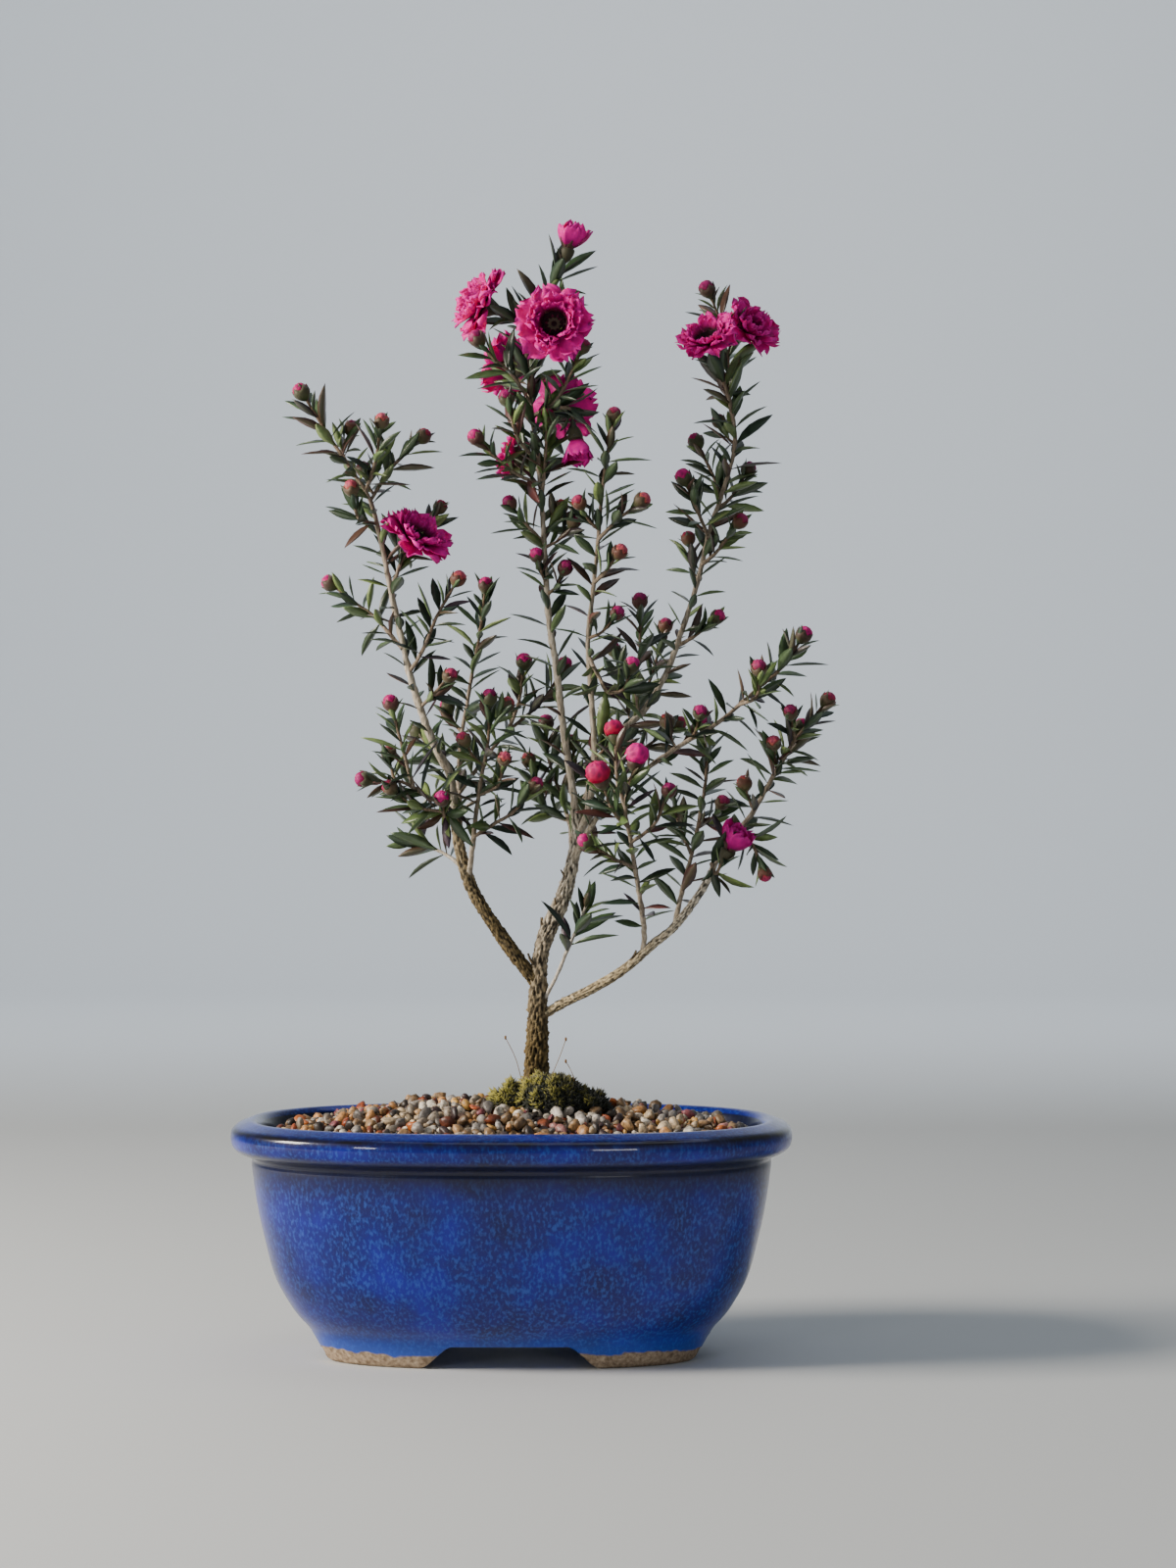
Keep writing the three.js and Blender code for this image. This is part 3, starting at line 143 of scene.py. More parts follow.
for lamp_name, (spot, (width, tall), power, colour) in LAMPS.items():
    lamp_data = bpy.data.lights.new(lamp_name, "AREA")
    lamp_data.shape = "RECTANGLE"
    lamp_data.size, lamp_data.size_y = width, tall
    lamp_data.energy = power
    lamp_data.color = linear(colour)[:3]
    lamp = place_object(lamp_name, lamp_data, spot)
    aim = np.subtract(BACKDROP_AIM if lamp_name == "backdrop" else LAMP_AIM, spot)
    down = np.arccos(-aim[2] / np.linalg.norm(aim))
    lamp.rotation_euler = (down, 0, np.arctan2(-aim[0], aim[1]))
    lamp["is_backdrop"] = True

floor_material, floor_shader = new_material("pale floor")
link(floor_material, floor_shader, {"Base Color": linear("#c6cacb"), "Roughness": 0.8})
sweep = np.linspace(0, np.pi / 2, 25)
sweep_y = SWEEP_START + SWEEP_RADIUS * np.sin(sweep)
sweep_y = np.concatenate([[FLOOR_START], sweep_y, sweep_y[-1:]])
sweep_z = np.concatenate([[0], SWEEP_RADIUS * (1 - np.cos(sweep)), [BACKDROP_TOP]])
floor_points = [(x, y, z) for y, z in zip(sweep_y, sweep_z) for x in (-FLOOR_SIDE, FLOOR_SIDE)]
floor_quads = [(k, k + 1, k + 3, k + 2) for k in range(0, len(floor_points) - 2, 2)]
floor_mesh = bpy.data.meshes.new("floor")
floor_mesh.from_pydata(floor_points, [], floor_quads)
floor_mesh.shade_smooth()
floor_mesh.materials.append(floor_material)
place_object("floor", floor_mesh)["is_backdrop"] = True

# The pot: stoneware pressed in a mould, about 152 mm long over its rolled rim, on feet left by an
# arch in each side. It is dipped in a cobalt glaze with fine lighter flecks, which is nearly black
# on the rim's upper edge, with painted shade below the rim; the feet are wiped clean to the buff
# clay.
POT_OUTLINE = np.array([  # half width, height and how far round each corner is eased, mm
    (8.0, 7.2, 0.4), (44.5, 7.2, 0.8), (45.3, 0.5, 0.5), (46.2, 0.0, 0.5), (51.0, 0.0, 0.5),
    (51.9, 0.7, 0.6), (53.6, 5.0, 1.6), (55.0, 8.0, 1.6), (59.1, 12.3, 3.0), (64.7, 21.6, 5.0),
    (69.2, 40.0, 9.0), (70.9, 52.8, 1.0), (70.7, 54.3, 0.5), (71.8, 55.3, 0.5), (74.4, 56.3, 1.0),
    (76.1, 57.8, 1.0), (76.6, 60.0, 1.2), (76.3, 62.2, 0.7), (75.2, 63.2, 0.8), (71.0, 64.8, 0.9),
    (69.4, 64.4, 0.9), (68.1, 62.8, 1.2), (66.9, 58.5, 1.5), (64.4, 35.0, 9.0), (59.0, 19.0, 4.0),
    (47.0, 13.0, 4.0), (8.0, 13.0, 0.4),
])
OVAL_POWER = 2.5
NARROWER_BY = 26.1  # how much less half the depth is than half the width, mm
DRAIN_WIDEST = 12  # half width below which the plan is the drain hole's circle, mm
POT_COLUMNS = 400
ARCH_LIFT = 6.4
FRONT_ARCH, END_ARCH = (15.0, 24.5), (6.5, 11.5)  # where the arches start and stop to fall, mm
RIM_EDGE, RIM_EDGE_REACH = (75.9, 62.5), 1.6  # the edge where the glaze breaks dark, mm
# Painted shade inside the pot: below this height its inside wall takes 0.12 of the glaze's colour.
INSIDE_TOP = 63.3  # height under which the inside is dark, mm
INSIDE_SHADE = 0.12


def eased(corners, samples=5):
    """A closed outline with each corner swapped for a parabola that leaves its two edges at the
    corner's own distance, or at 0.45 of an edge that is too short for it."""
    spots, ease = corners[:, :2], corners[:, 2:]
    bends = []
    for step in (1, -1):
        edge = np.roll(spots, step, axis=0) - spots
        reach = np.linalg.norm(edge, axis=1, keepdims=True)
        bends.append(spots + edge * np.minimum(ease / reach, 0.45))
    share = np.linspace(0, 1, samples)[None, :, None]
    before, middle, after = bends[0][:, None], spots[:, None], bends[1][:, None]
    curve = (1 - share) ** 2 * before + 2 * share * (1 - share) * middle + share**2 * after
    return curve.reshape(-1, 2)


def oval(half_width, angle):
    """Place on the pot's plan: a rounded oval of power 2.5, NARROWER_BY less deep than wide on each
    side, or 0.42 as deep as wide where it is small, and a circle at the drain hole."""
    half_depth = np.maximum(half_width - NARROWER_BY, 0.42 * half_width)
    half_depth = np.where(half_width < DRAIN_WIDEST, half_width, half_depth)
    power = np.where(half_width < DRAIN_WIDEST, 1.0, 2 / OVAL_POWER)
    wave = [np.sign(w) * np.abs(w) ** power for w in (np.cos(angle), np.sin(angle))]
    return half_width * wave[0], half_depth * wave[1]


def ramp(value, start, end):
    """0 at start, 1 at end and beyond, with level ends: 3 t squared less 2 t cubed."""
    t = np.clip((value - start) / (end - start), 0, 1)
    return t * t * (3 - 2 * t)


def turn_of(count):
    """Angles of so many columns round a full turn."""
    return np.arange(count) * 2 * np.pi / count


def grid_faces(rows, columns, close_rows=False):
    """Two triangles for each cell of a grid whose columns close round. They face out where the
    columns go anticlockwise seen from beyond the last row."""
    row = np.arange(rows if close_rows else rows - 1)
    row, column = np.meshgrid(row, np.arange(columns), indexing="ij")
    here, right = row * columns + column, row * columns + (column + 1) % columns
    up = (row + 1) % rows * columns
    above, corner = up + column, up + (column + 1) % columns
    return np.stack([here, right, corner, here, corner, above], axis=-1).reshape(-1, 3)


def bit(points, faces, tint="#ffffff", look=0, share=0.0):
    """Part of a piece: its points in mm from the middle of the pot's foot, its triangles, a linear
    colour and a share from 0 to 1 for each point, and the number of its material."""
    points = np.asarray(points, float).reshape(-1, 3)
    colour = linear(tint)[:3] if isinstance(tint, str) else tint
    return {
        "points": points,
        "faces": np.asarray(faces),
        "tint": np.broadcast_to(np.asarray(colour, float), points.shape),
        "share": np.broadcast_to(np.asarray(share, float), len(points)),
        "look": np.full(len(faces), look),
    }


def make_piece(name, bits, materials, slot, *nodes):
    """One mesh from bits, in the place of the CAD nodes named."""
    starts = np.cumsum([0] + [len(b["points"]) for b in bits])
    points = np.concatenate([b["points"] for b in bits]) + POT_MIDDLE
    faces = np.concatenate([b["faces"] + start for b, start in zip(bits, starts)])
    mesh = bpy.data.meshes.new(name)
    mesh.vertices.add(len(points))
    mesh.vertices.foreach_set("co", (points / 1000).ravel())
    mesh.loops.add(faces.size)
    mesh.loops.foreach_set("vertex_index", faces.ravel())
    mesh.polygons.add(len(faces))
    mesh.polygons.foreach_set("loop_start", np.arange(0, faces.size, 3))
    mesh.polygons.foreach_set("material_index", np.concatenate([b["look"] for b in bits]))
    mesh.update(calc_edges=True)
    tint = np.column_stack([np.concatenate([b["tint"] for b in bits]), np.ones(len(points))])
    colours = mesh.color_attributes.new("tint", "FLOAT_COLOR", "POINT")
    colours.data.foreach_set("color", tint.ravel())
    shares = mesh.attributes.new("share", "FLOAT", "POINT")
    shares.data.foreach_set("value", np.concatenate([b["share"] for b in bits]))
    mesh.shade_smooth()
    for material in materials:
        mesh.materials.append(material)
    piece = place_object(name, mesh)
    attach(piece, "root")
    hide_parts(*nodes)


pot_rows = eased(POT_OUTLINE)
pot_x, pot_y = oval(pot_rows[:, :1], turn_of(POT_COLUMNS)[None])
arch = ARCH_LIFT * np.maximum(
    1 - ramp(np.abs(pot_x), *FRONT_ARCH), 1 - ramp(np.abs(pot_y), *END_ARCH)
)
pot_z = np.maximum(pot_rows[:, 1:] + 0 * pot_x, arch)
from_edge = np.hypot(*(pot_rows - RIM_EDGE).T)
rim_edge = np.exp(-(from_edge / RIM_EDGE_REACH) ** 2)


def noise(material, where, scale, detail=2.0, roughness=0.5):
    """A smooth random value at each place, with so many waves in a metre."""
    sockets = {"Vector": where, "Scale": scale, "Detail": detail, "Roughness": roughness}
    return add(material, "TexNoise", sockets).outputs["Fac"]


def spread(material, value, low, high, start, end):
    """Start where the value is low or less, end where it is high or more, and even between."""
    sockets = {"Value": value, 1: low, 2: high, 3: start, 4: end}
    return add(material, "MapRange", sockets).outputs[0]


def tones(material, value, *stops):
    """The colour that a ramp has at a value."""
    return add(material, "ValToRGB", {"Fac": value}, stops=stops).outputs[0]


def product(material, one, other):
    """Two values multiplied."""
    return add(material, "Math", {0: one, 1: other}, operation="MULTIPLY").outputs[0]


def blend(material, share, under, over, way="MIX"):
    """Over laid on under by a share, as a mix or in another way."""
    over = linear(over) if isinstance(over, str) else over
    sockets = {0: share, 6: under, 7: over}
    return add(material, "Mix", sockets, data_type="RGBA", blend_type=way).outputs[2]


def bump(material, height, strength, depth, **settings):
    """Normals of a surface that rises and falls by depth in m."""
    sockets = {"Height": height, "Strength": strength, "Distance": depth}
    return add(material, "Bump", sockets, **settings).outputs[0]


def own_place(material):
    """Place in the object's own metres."""
    return add(material, "TexCoord").outputs["Object"]


def stored(material, name):
    """A piece's own tint, as a colour, or its share, as a number."""
    kind = "Color" if name == "tint" else "Fac"
    return add(material, "Attribute", attribute_name=name).outputs[kind]


# The glaze: clouds of navy and cobalt crowded with soft flecks of 1 mm, a little lighter than
# their ground, which read as crystals under a hard clear gloss. Painted shade makes it nearly black
# in the groove below the rim and inside the pot; it is thin and pale on the feet. Heights are in m
# above the table.
glaze, glaze_shader = new_material("mottled cobalt glaze")
spot = own_place(glaze)
height = add(glaze, "SeparateXYZ", {0: spot}).outputs["Z"]
clouds = noise(glaze, spot, 55.0, 3.0, 0.55)
glaze_colour = tones(glaze, clouds, (0.3, "#010750"), (0.5, "#010a70"), (0.7, "#021094"))
drawn = add(glaze, "Mapping", {"Vector": spot, "Scale": (1.0, 1.0, 0.55)}).outputs[0]
flecks = spread(glaze, noise(glaze, drawn, 1250.0), 0.47, 0.68, 0.0, 0.6)
patches = spread(glaze, noise(glaze, spot, 16.0), 0.36, 0.6, 0.6, 1.0)
glaze_colour = blend(glaze, product(glaze, flecks, patches), glaze_colour, "#2c5ab4")
# Painted shade: a nearly black band in the groove under the rim, from 46 mm up to the rim's
# underside near 58 mm.
groove_shade_rise = spread(glaze, height, 0.046, 0.0535, 0.0, 0.92)
groove_shade_fall = spread(glaze, height, 0.0565, 0.058, 1.0, 0.05)
glaze_colour = blend(glaze, product(glaze, groove_shade_rise, groove_shade_fall), glaze_colour, "#02051f")
# The tint carries painted shade: 0.12 on the pot's inside wall, 1 elsewhere.
glaze_colour = blend(glaze, 1.0, glaze_colour, stored(glaze, "tint"), "MULTIPLY")
thin = spread(glaze, height, 0.011, 0.003, 0.0, 0.6)
glaze_colour = blend(glaze, thin, glaze_colour, "#3460c8")
uneven = spread(glaze, noise(glaze, spot, 120.0), 0.3, 0.6, 0.7, 1.0)
glaze_colour = blend(glaze, product(glaze, stored(glaze, "share"), uneven), glaze_colour, "#0d0909")
wavy = noise(glaze, spot, 90.0, 3.0)
lifted = add(glaze, "Math", {0: wavy, 1: -0.006, 2: height}, operation="MULTIPLY_ADD").outputs[0]
bare = spread(glaze, lifted, 0.0005, 0.0009, 1.0, 0.0)
clay = noise(glaze, spot, 900.0, 4.0)
clay = tones(glaze, clay, (0.3, "#6f5d4a"), (0.55, "#9b8770"), (0.75, "#b9a78d"))
link(glaze, glaze_shader, {
    "Base Color": blend(glaze, bare, glaze_colour, clay),
    "Roughness": spread(glaze, bare, 0.0, 1.0, 0.3, 0.85), "IOR": 1.3,
    "Coat Weight": spread(glaze, bare, 0.0, 1.0, 0.6, 0.0), "Coat Roughness": 0.04,
    "Coat IOR": 1.45, "Normal": bump(glaze, noise(glaze, spot, 300.0), 0.16, 0.0004),
})

# Painted shade: the inside wall below 63.3 mm is darkened through the tint.
inside = (np.arange(len(pot_rows)) > np.argmax(pot_rows[:, 1])) & (pot_rows[:, 1] < INSIDE_TOP)
pot_inside_shade = np.repeat(np.where(inside, INSIDE_SHADE, 1.0), POT_COLUMNS)[:, None]
pot_bit = bit(
    np.stack([pot_x, pot_y, pot_z], axis=-1), grid_faces(*pot_x.shape, close_rows=True),
    tint=pot_inside_shade, share=np.repeat(rim_edge, POT_COLUMNS),
)
make_piece("glazed_pot", [pot_bit], [glaze], "blue_glaze", "pot")

# The drain screen: a square of black plastic mesh that keeps the soil off the hole. It lies under
# the soil, and its material has the faint shine of moulded plastic.


def dress(node, material):
    """Gives its material to a CAD node that shows as it is."""
    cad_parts[node].data.materials.clear()
    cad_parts[node].data.materials.append(material)


screen_plastic, screen_shader = new_material("black plastic mesh")
link(screen_plastic, screen_shader, {
    "Base Color": linear("#232323"), "Roughness": 0.5, "IOR": 1.46,
})
dress("drain_screen", screen_plastic)

# The soil: dark gritty potting mix of bark crumbs and grit, filled up to the gravel. Its material
# is cells of about 2 mm, each of its own brown, which read as dull crumbs.
soil_mix, soil_shader = new_material("gritty potting mix")
grit = add(soil_mix, "TexVoronoi", {"Vector": own_place(soil_mix), "Scale": 480.0})
crumb = add(soil_mix, "SeparateColor", {0: grit.outputs["Color"]}).outputs[0]
link(soil_mix, soil_shader, {
    "Base Color": tones(soil_mix, crumb, (0.1, "#1d140e"), (0.6, "#3f2d20"), (0.95, "#6d5a46")),
    "Roughness": 0.95, "Normal": bump(soil_mix, grit.outputs["Distance"], 0.8, 0.001, invert=True),
})
dress("soil", soil_mix)

# The gravel: washed river gravel of 2 to 5 mm, part rounded and part broken, in white, cream,
# yellow, orange, rust, pink, grey and nearly black. It is strewn two deep over the soil and heaped
# 9 mm towards the trunk, on a bed of fine dark grit that fills the depth under the stones.
GRAVEL_HALF = (66.0, 39.9)  # half length and half width of the strewn oval, mm
PEBBLE_LAYERS = [  # throws, least and largest radius, crowding, and depth below the heap's top, mm
    (9000, 0.9, 2.2, 0.78, 1.2), (8000, 0.85, 1.6, 0.74, 2.9),
]
CHIPS, CHIP_DEPTHS, CHIP_SOFTNESS = 7, (0.4, 0.92), 0.06
PEBBLES = {  # colour, and how many of each 118 pebbles have it
    "#b89468": 14, "#d9c3a0": 13, "#8f7454": 11, "#d39a5e": 6, "#c06a2c": 3, "#7d4026": 5,
    "#c48a86": 5, "#85807c": 10, "#4f3d3e": 7, "#f0e8d8": 9, "#3d342e": 8, "#a09484": 9,
    "#b3562a": 3, "#c9c2ba": 8, "#8a4a52": 3, "#e0b060": 4,
}
BED_HALF = (65.8, 39.7)
BED_ROWS = np.array([  # share of the oval and depth below the heap's top in mm
    (0.2, 2.7), (0.4, 2.7), (0.6, 2.7), (0.8, 2.7), (0.95, 2.8), (1.0, 3.2), (1.0, 4.2),
    (0.95, 4.6), (0.5, 4.6),
])


def mound(x, y):
    """Height of the heap: 61.8 mm at its edge and 8.6 mm more in the middle, falling as the
    square."""
    return 61.8 + 8.6 * (1 - np.minimum((x / 66.2) ** 2 + (y / 40.1) ** 2, 1))


def waves(points, seed, length, count=24):
    """Smooth random height with a spread of about 1: the sum of sine waves in random directions,
    their lengths within a third of length, over the root of half their number."""
    draw = np.random.default_rng(seed)
    ways = draw.normal(size=(3, count))
    ways *= 2 * np.pi / (length * draw.uniform(0.7, 1.4, count) * np.linalg.norm(ways, axis=0))
    phase = draw.uniform(0, 2 * np.pi, count)
    return np.sin(np.asarray(points) @ ways + phase).sum(-1) / np.sqrt(count / 2)


def unit(vectors, least=0.0):
    """Vectors brought to length 1; least keeps one of no length from a division by 0."""
    return vectors / (np.linalg.norm(vectors, axis=-1, keepdims=True) + least)


def rgb(*colours):
    """One row of linear red, green and blue for each sRGB hex colour."""
    return np.array([linear(colour)[:3] for colour in colours])


def rings_round(wide, high, angle):
    """Rings round the axis Z, with the radii wide at the heights high."""
    rings = np.broadcast_arrays(wide * np.cos(angle), wide * np.sin(angle), high)
    return np.stack(rings, axis=-1)


def skin(rings):
    """Points and triangles of closed skins: rings of shape (..., rows, columns, 3), each closed
    round, with a middle point on the first and the last."""
    rows, columns = rings.shape[-3:-1]
    first = rings[..., 0, :, :].mean(-2, keepdims=True)
    last = rings[..., -1, :, :].mean(-2, keepdims=True)
    sides = rings.reshape(*rings.shape[:-3], rows * columns, 3)
    here = np.arange(columns)
    there = (here + 1) % columns
    root, tip, top = rows * columns, rows * columns + 1, (rows - 1) * columns
    caps = [
        np.stack([0 * here + root, there, here], -1),
        np.stack([0 * here + tip, top + here, top + there], -1),
    ]
    faces = np.concatenate([grid_faces(rows, columns), *caps])
    return np.concatenate([sides, first, last], axis=-2), faces


def many(points, faces):
    """One list of points and of triangles from equal skins, points having the shape (copies,
    points, 3)."""
    starts = len(points[0]) * np.arange(len(points))
    return points.reshape(-1, 3), (faces[None] + starts[:, None, None]).reshape(-1, 3)


def random_turns(draw, count):
    """Turning matrices spread evenly over all directions, from random unit quaternions."""
    w, x, y, z = unit(draw.normal(size=(count, 4))).T
    return np.stack([
        1 - 2 * (y * y + z * z), 2 * (x * y - z * w), 2 * (x * z + y * w),
        2 * (x * y + z * w), 1 - 2 * (x * x + z * z), 2 * (y * z - x * w),
        2 * (x * z - y * w), 2 * (y * z + x * w), 1 - 2 * (x * x + y * y),
    ], axis=-1).reshape(count, 3, 3)


def ball(rows, columns):
    """Rings of a ball of radius 1, from just over its lowest point to just under its highest."""
    rise = np.linspace(-np.pi / 2, np.pi / 2, rows + 2)[1:-1, None]
    return rings_round(np.cos(rise), np.sin(rise), turn_of(columns))


def strewn(draw, tries, smallest, largest, crowd):
    """Places and radii of pebbles thrown on the oval, large ones first, each kept where it is at
    least crowd times the sum of the two radii from all the others."""
    radii = np.sort(smallest + (largest - smallest) * draw.random(tries) ** 2.2)[::-1]
    angle, reach = draw.uniform(0, 2 * np.pi, tries), np.sqrt(draw.random(tries))
    spots = np.column_stack([
        (GRAVEL_HALF[0] - radii) * reach * np.cos(angle),
        (GRAVEL_HALF[1] - radii) * reach * np.sin(angle),
    ])
    kept = np.zeros(tries, bool)
    for k in range(tries):
        near = np.hypot(*(spots[kept] - spots[k]).T)
        kept[k] = np.all(near > crowd * (radii[kept] + radii[k]))
    return spots[kept], radii[kept]


def chipped(points, ways, depths, soft):
    """Points of each stone pushed back to flat faces: where one lies past depth along a way, all
    but soft of the rest is taken off along that way."""
    for way, depth in zip(np.moveaxis(ways, 1, 0), depths.T):
        past = np.maximum(np.einsum("nij,nj->ni", points, way) - depth[:, None], 0)
        points = points - (1 - soft) * past[..., None] * way[:, None]
    return points


draw = np.random.default_rng(11)
palette, odds = rgb(*PEBBLES), np.array(list(PEBBLES.values()))
shape, pebble_faces = skin(ball(5, 8))
gravel_bits = []
for tries, smallest, largest, crowd, sunk in PEBBLE_LAYERS:
    spots, radii = strewn(draw, tries, smallest, largest, crowd)
    count = len(radii)
    ways = unit(draw.normal(size=(count, CHIPS, 3)))
    depths = draw.uniform(*CHIP_DEPTHS, (count, CHIPS))
    stones = chipped(np.repeat(shape[None], count, axis=0), ways, depths, CHIP_SOFTNESS)
    stretch = [draw.uniform(*span, count) for span in ((0.95, 1.45), (0.75, 1.05), (0.5, 0.9))]
    stones *= (radii[:, None] * np.column_stack(stretch))[:, None]
    stones = np.einsum("nij,nkj->nki", random_turns(draw, count), stones)
    resting = mound(*spots.T) - sunk + 0.3 * radii * draw.normal(size=count)
    stones += np.column_stack([spots, resting])[:, None]
    hues = palette[draw.choice(len(palette), count, p=odds / odds.sum())]
    hues *= draw.uniform(0.6, 1.2, (count, 1))
    gravel_bits.append(bit(*many(stones, pebble_faces), np.repeat(hues, len(shape), axis=0)))

bed_share, bed_drop = BED_ROWS[:, :1], BED_ROWS[:, 1:]
bed_x = BED_HALF[0] * bed_share * np.cos(turn_of(64))
bed_y = BED_HALF[1] * bed_share * np.sin(turn_of(64))
bed = np.stack([bed_x, bed_y, mound(bed_x, bed_y) - bed_drop], axis=-1)[::-1]
gravel_bits.append(bit(*skin(bed), "#2a211a"))

def mottled(material, amount, value, *stops):
    """A piece's own tint, multiplied by an amount of the tones that stops give a value."""
    own = stored(material, "tint")
    return blend(material, amount, own, tones(material, value, *stops), "MULTIPLY")


# The stones' material: each has its own colour, darkened by specks of about 1 mm like grains in the
# rock, and the half dull shine of a surface worn smooth in water.
pebble, pebble_shader = new_material("washed river pebbles")
speckle = noise(pebble, own_place(pebble), 1100.0, 4.0, 0.7)
specks = (0.34, "#6e655e"), (0.5, "#d8d3cc"), (0.64, "#ffffff")
link(pebble, pebble_shader, {
    "Base Color": mottled(pebble, 0.85, speckle, *specks), "Roughness": 0.45, "IOR": 1.52,
    "Normal": bump(pebble, speckle, 0.3, 0.0003),
})
make_piece("pebble_gravel", gravel_bits, [pebble], "pebbles", "gravel")

# The moss: a low cushion in four lobes round the foot of the trunk, of pointed leaflets 1 to 3 mm
# long, with four ripe capsules on hair stalks. Painted light makes the leaflets' tips olive yellow,
# most on the left and on the clumps, and painted shade makes their feet and the cushion under them
# nearly black green. It grew on the gravel and holds itself there.
MOSS_LOBES = np.array([  # x, y, reach and rise, mm
    (11, -7, 10.5, 9), (1, -6, 7, 6.5), (20, -7, 6.5, 4.4), (8, 5, 9, 7),
])
MOSS_MIDDLE = (9.5, -3.5)
MOSS_BOTTOM = 68.2
MOSS_PATCH = ((-7, 27), (-19, 15))  # x and y between which leaflets are tried
MOSS_LEAVES = 5200
LEAFLET_HALF, LEAFLET_LENGTH = 0.34, 1.35  # mm, before each one's own size
CUSHION_ROWS = np.array([
    0.9, 1.0, 0.99, 0.96, 0.9, 0.83, 0.75, 0.66, 0.57, 0.48, 0.39, 0.3, 0.21, 0.12, 0.05,
])[:, None]  # shares of the way from the middle to the edge, from below the edge to the top
CAPSULES = [  # foot and top of each stalk
    ((3, -9, 75), (-1.5, -12, 87.5)), ((11, -8, 77), (14.8, -9, 86.8)),
    ((17.5, -9, 73), (14.8, -11, 81)), ((6, 2, 73), (3.4, 4, 82.5)),
]
STALK_HALF, POD_HALF = 0.1, (0.32, 0.32, 0.62)


def moss_rise(x, y):
    """Rise of the cushion: the highest of its lobes, each its own rise times (1 - (distance /
    reach) squared) to the power 0.6."""
    lobe_x, lobe_y, reach, rise = MOSS_LOBES.T
    near = 1 - ((x[..., None] - lobe_x) ** 2 + (y[..., None] - lobe_y) ** 2) / reach**2
    return (rise * np.maximum(near, 0) ** 0.6).max(-1)


def from_middle(reach):
    """Places x and y at a reach from the cushion's middle, in 96 directions."""
    angle = turn_of(96)[None]
    return MOSS_MIDDLE[0] + reach * np.cos(angle), MOSS_MIDDLE[1] + reach * np.sin(angle)


far = np.linspace(3, 24, 200)[:, None]
outline = (far * (moss_rise(*from_middle(far)) > 0.9)).max(0, keepdims=True)
moss_x, moss_y = from_middle(CUSHION_ROWS * outline)
lumpy = 0.8 * waves(np.stack([moss_x, moss_y, 0 * moss_x], -1), 8, 4.5)
above = np.where(CUSHION_ROWS > 0.995, 0.5, moss_rise(moss_x, moss_y) * 0.9 - 0.5 + lumpy)
moss_z = MOSS_BOTTOM + above
moss_z[0] = MOSS_BOTTOM - 1
# Painted shade: the cushion under the leaflets is nearly black green, for the shade between them.
moss_bits = [bit(*skin(np.stack([moss_x, moss_y, moss_z], -1)), "#12160a")]

spots = np.column_stack([draw.uniform(*span, 4 * MOSS_LEAVES) for span in MOSS_PATCH])
rise = moss_rise(*spots.T)
spots, rise = spots[rise > 0.7][:MOSS_LEAVES], rise[rise > 0.7][:MOSS_LEAVES]
count = len(spots)
slope = np.column_stack([
    moss_rise(spots[:, 0] - 0.3, spots[:, 1]) - moss_rise(spots[:, 0] + 0.3, spots[:, 1]),
    moss_rise(spots[:, 0], spots[:, 1] - 0.3) - moss_rise(spots[:, 0], spots[:, 1] + 0.3),
    np.full(count, 0.6),
])
clumps = waves(np.column_stack([spots, 0 * rise]), 21, 3.2)
ways = unit(unit(slope) + 0.55 * draw.normal(size=(count, 3)))
across = unit(np.cross(ways, draw.normal(size=(count, 3))))
over = np.cross(ways, across)
feet = np.column_stack([spots, MOSS_BOTTOM + rise * 0.9 - 0.6 + 0.7 * clumps])
size = draw.uniform(0.9, 1.9, (count, 1))
leaflets = np.stack([
    *[feet + LEAFLET_HALF * (across * np.cos(a) + over * np.sin(a)) * size for a in (0, 2.1, 4.2)],
    feet + ways * LEAFLET_LENGTH * size,
], axis=1)
leaflet_faces = np.array([(0, 2, 1), (0, 1, 3), (1, 2, 3), (2, 0, 3)])
# Painted light: the tips are lighter on the clumps and towards the left, with a random tone on top.
light = 0.14 + 0.45 * clumps - 0.03 * (spots[:, 0] - 9) + 0.22 * draw.normal(size=count)
light = np.clip(light, 0, 1)[:, None]
# Painted shade at each leaflet's three feet; its tip runs from dark to sunny by the painted light.
shade, dark, sunny = rgb("#10140a", "#181f0b", "#a39c3c")
tops = (1 - light) * dark + light * sunny
tints = np.stack([0 * tops + shade] * 3 + [tops], axis=1).reshape(-1, 3)
moss_bits.append(bit(*many(leaflets, leaflet_faces), tints))


def run_along(points):
    """Length run from the first point to each point of a path."""
    return np.concatenate([[0], np.cumsum(np.linalg.norm(np.diff(points, axis=0), axis=1))])


def curve_through(places, step):
    """Points about every step mm along a smooth curve, and the run to each. Between two places it
    is the cubic with the slopes of the centripetal Catmull-Rom curve, whose time from place to
    place is the root of their distance."""
    places = np.asarray(places, float)
    times = np.sqrt(np.linalg.norm(np.diff(places, axis=0), axis=1))[:, None]
    speed = np.diff(places, axis=0) / times
    inner = (speed[:-1] * times[1:] + speed[1:] * times[:-1]) / (times[1:] + times[:-1])
    slopes = np.concatenate([speed[:1], inner, speed[-1:]])
    s = np.linspace(0, 1, 17)[None, :, None]
    start, end = places[:-1, None], places[1:, None]
    leave, arrive = (slopes[:-1] * times)[:, None], (slopes[1:] * times)[:, None]
    curve = ((2 * s**3 - 3 * s**2 + 1) * start + (s**3 - 2 * s**2 + s) * leave
             + (3 * s**2 - 2 * s**3) * end + (s**3 - s**2) * arrive).reshape(-1, 3)
    run = run_along(curve)
    even = np.linspace(0, run[-1], max(3, int(np.ceil(run[-1] / step)) + 1))
    return np.stack([np.interp(even, run, curve[:, k]) for k in range(3)], axis=-1), even


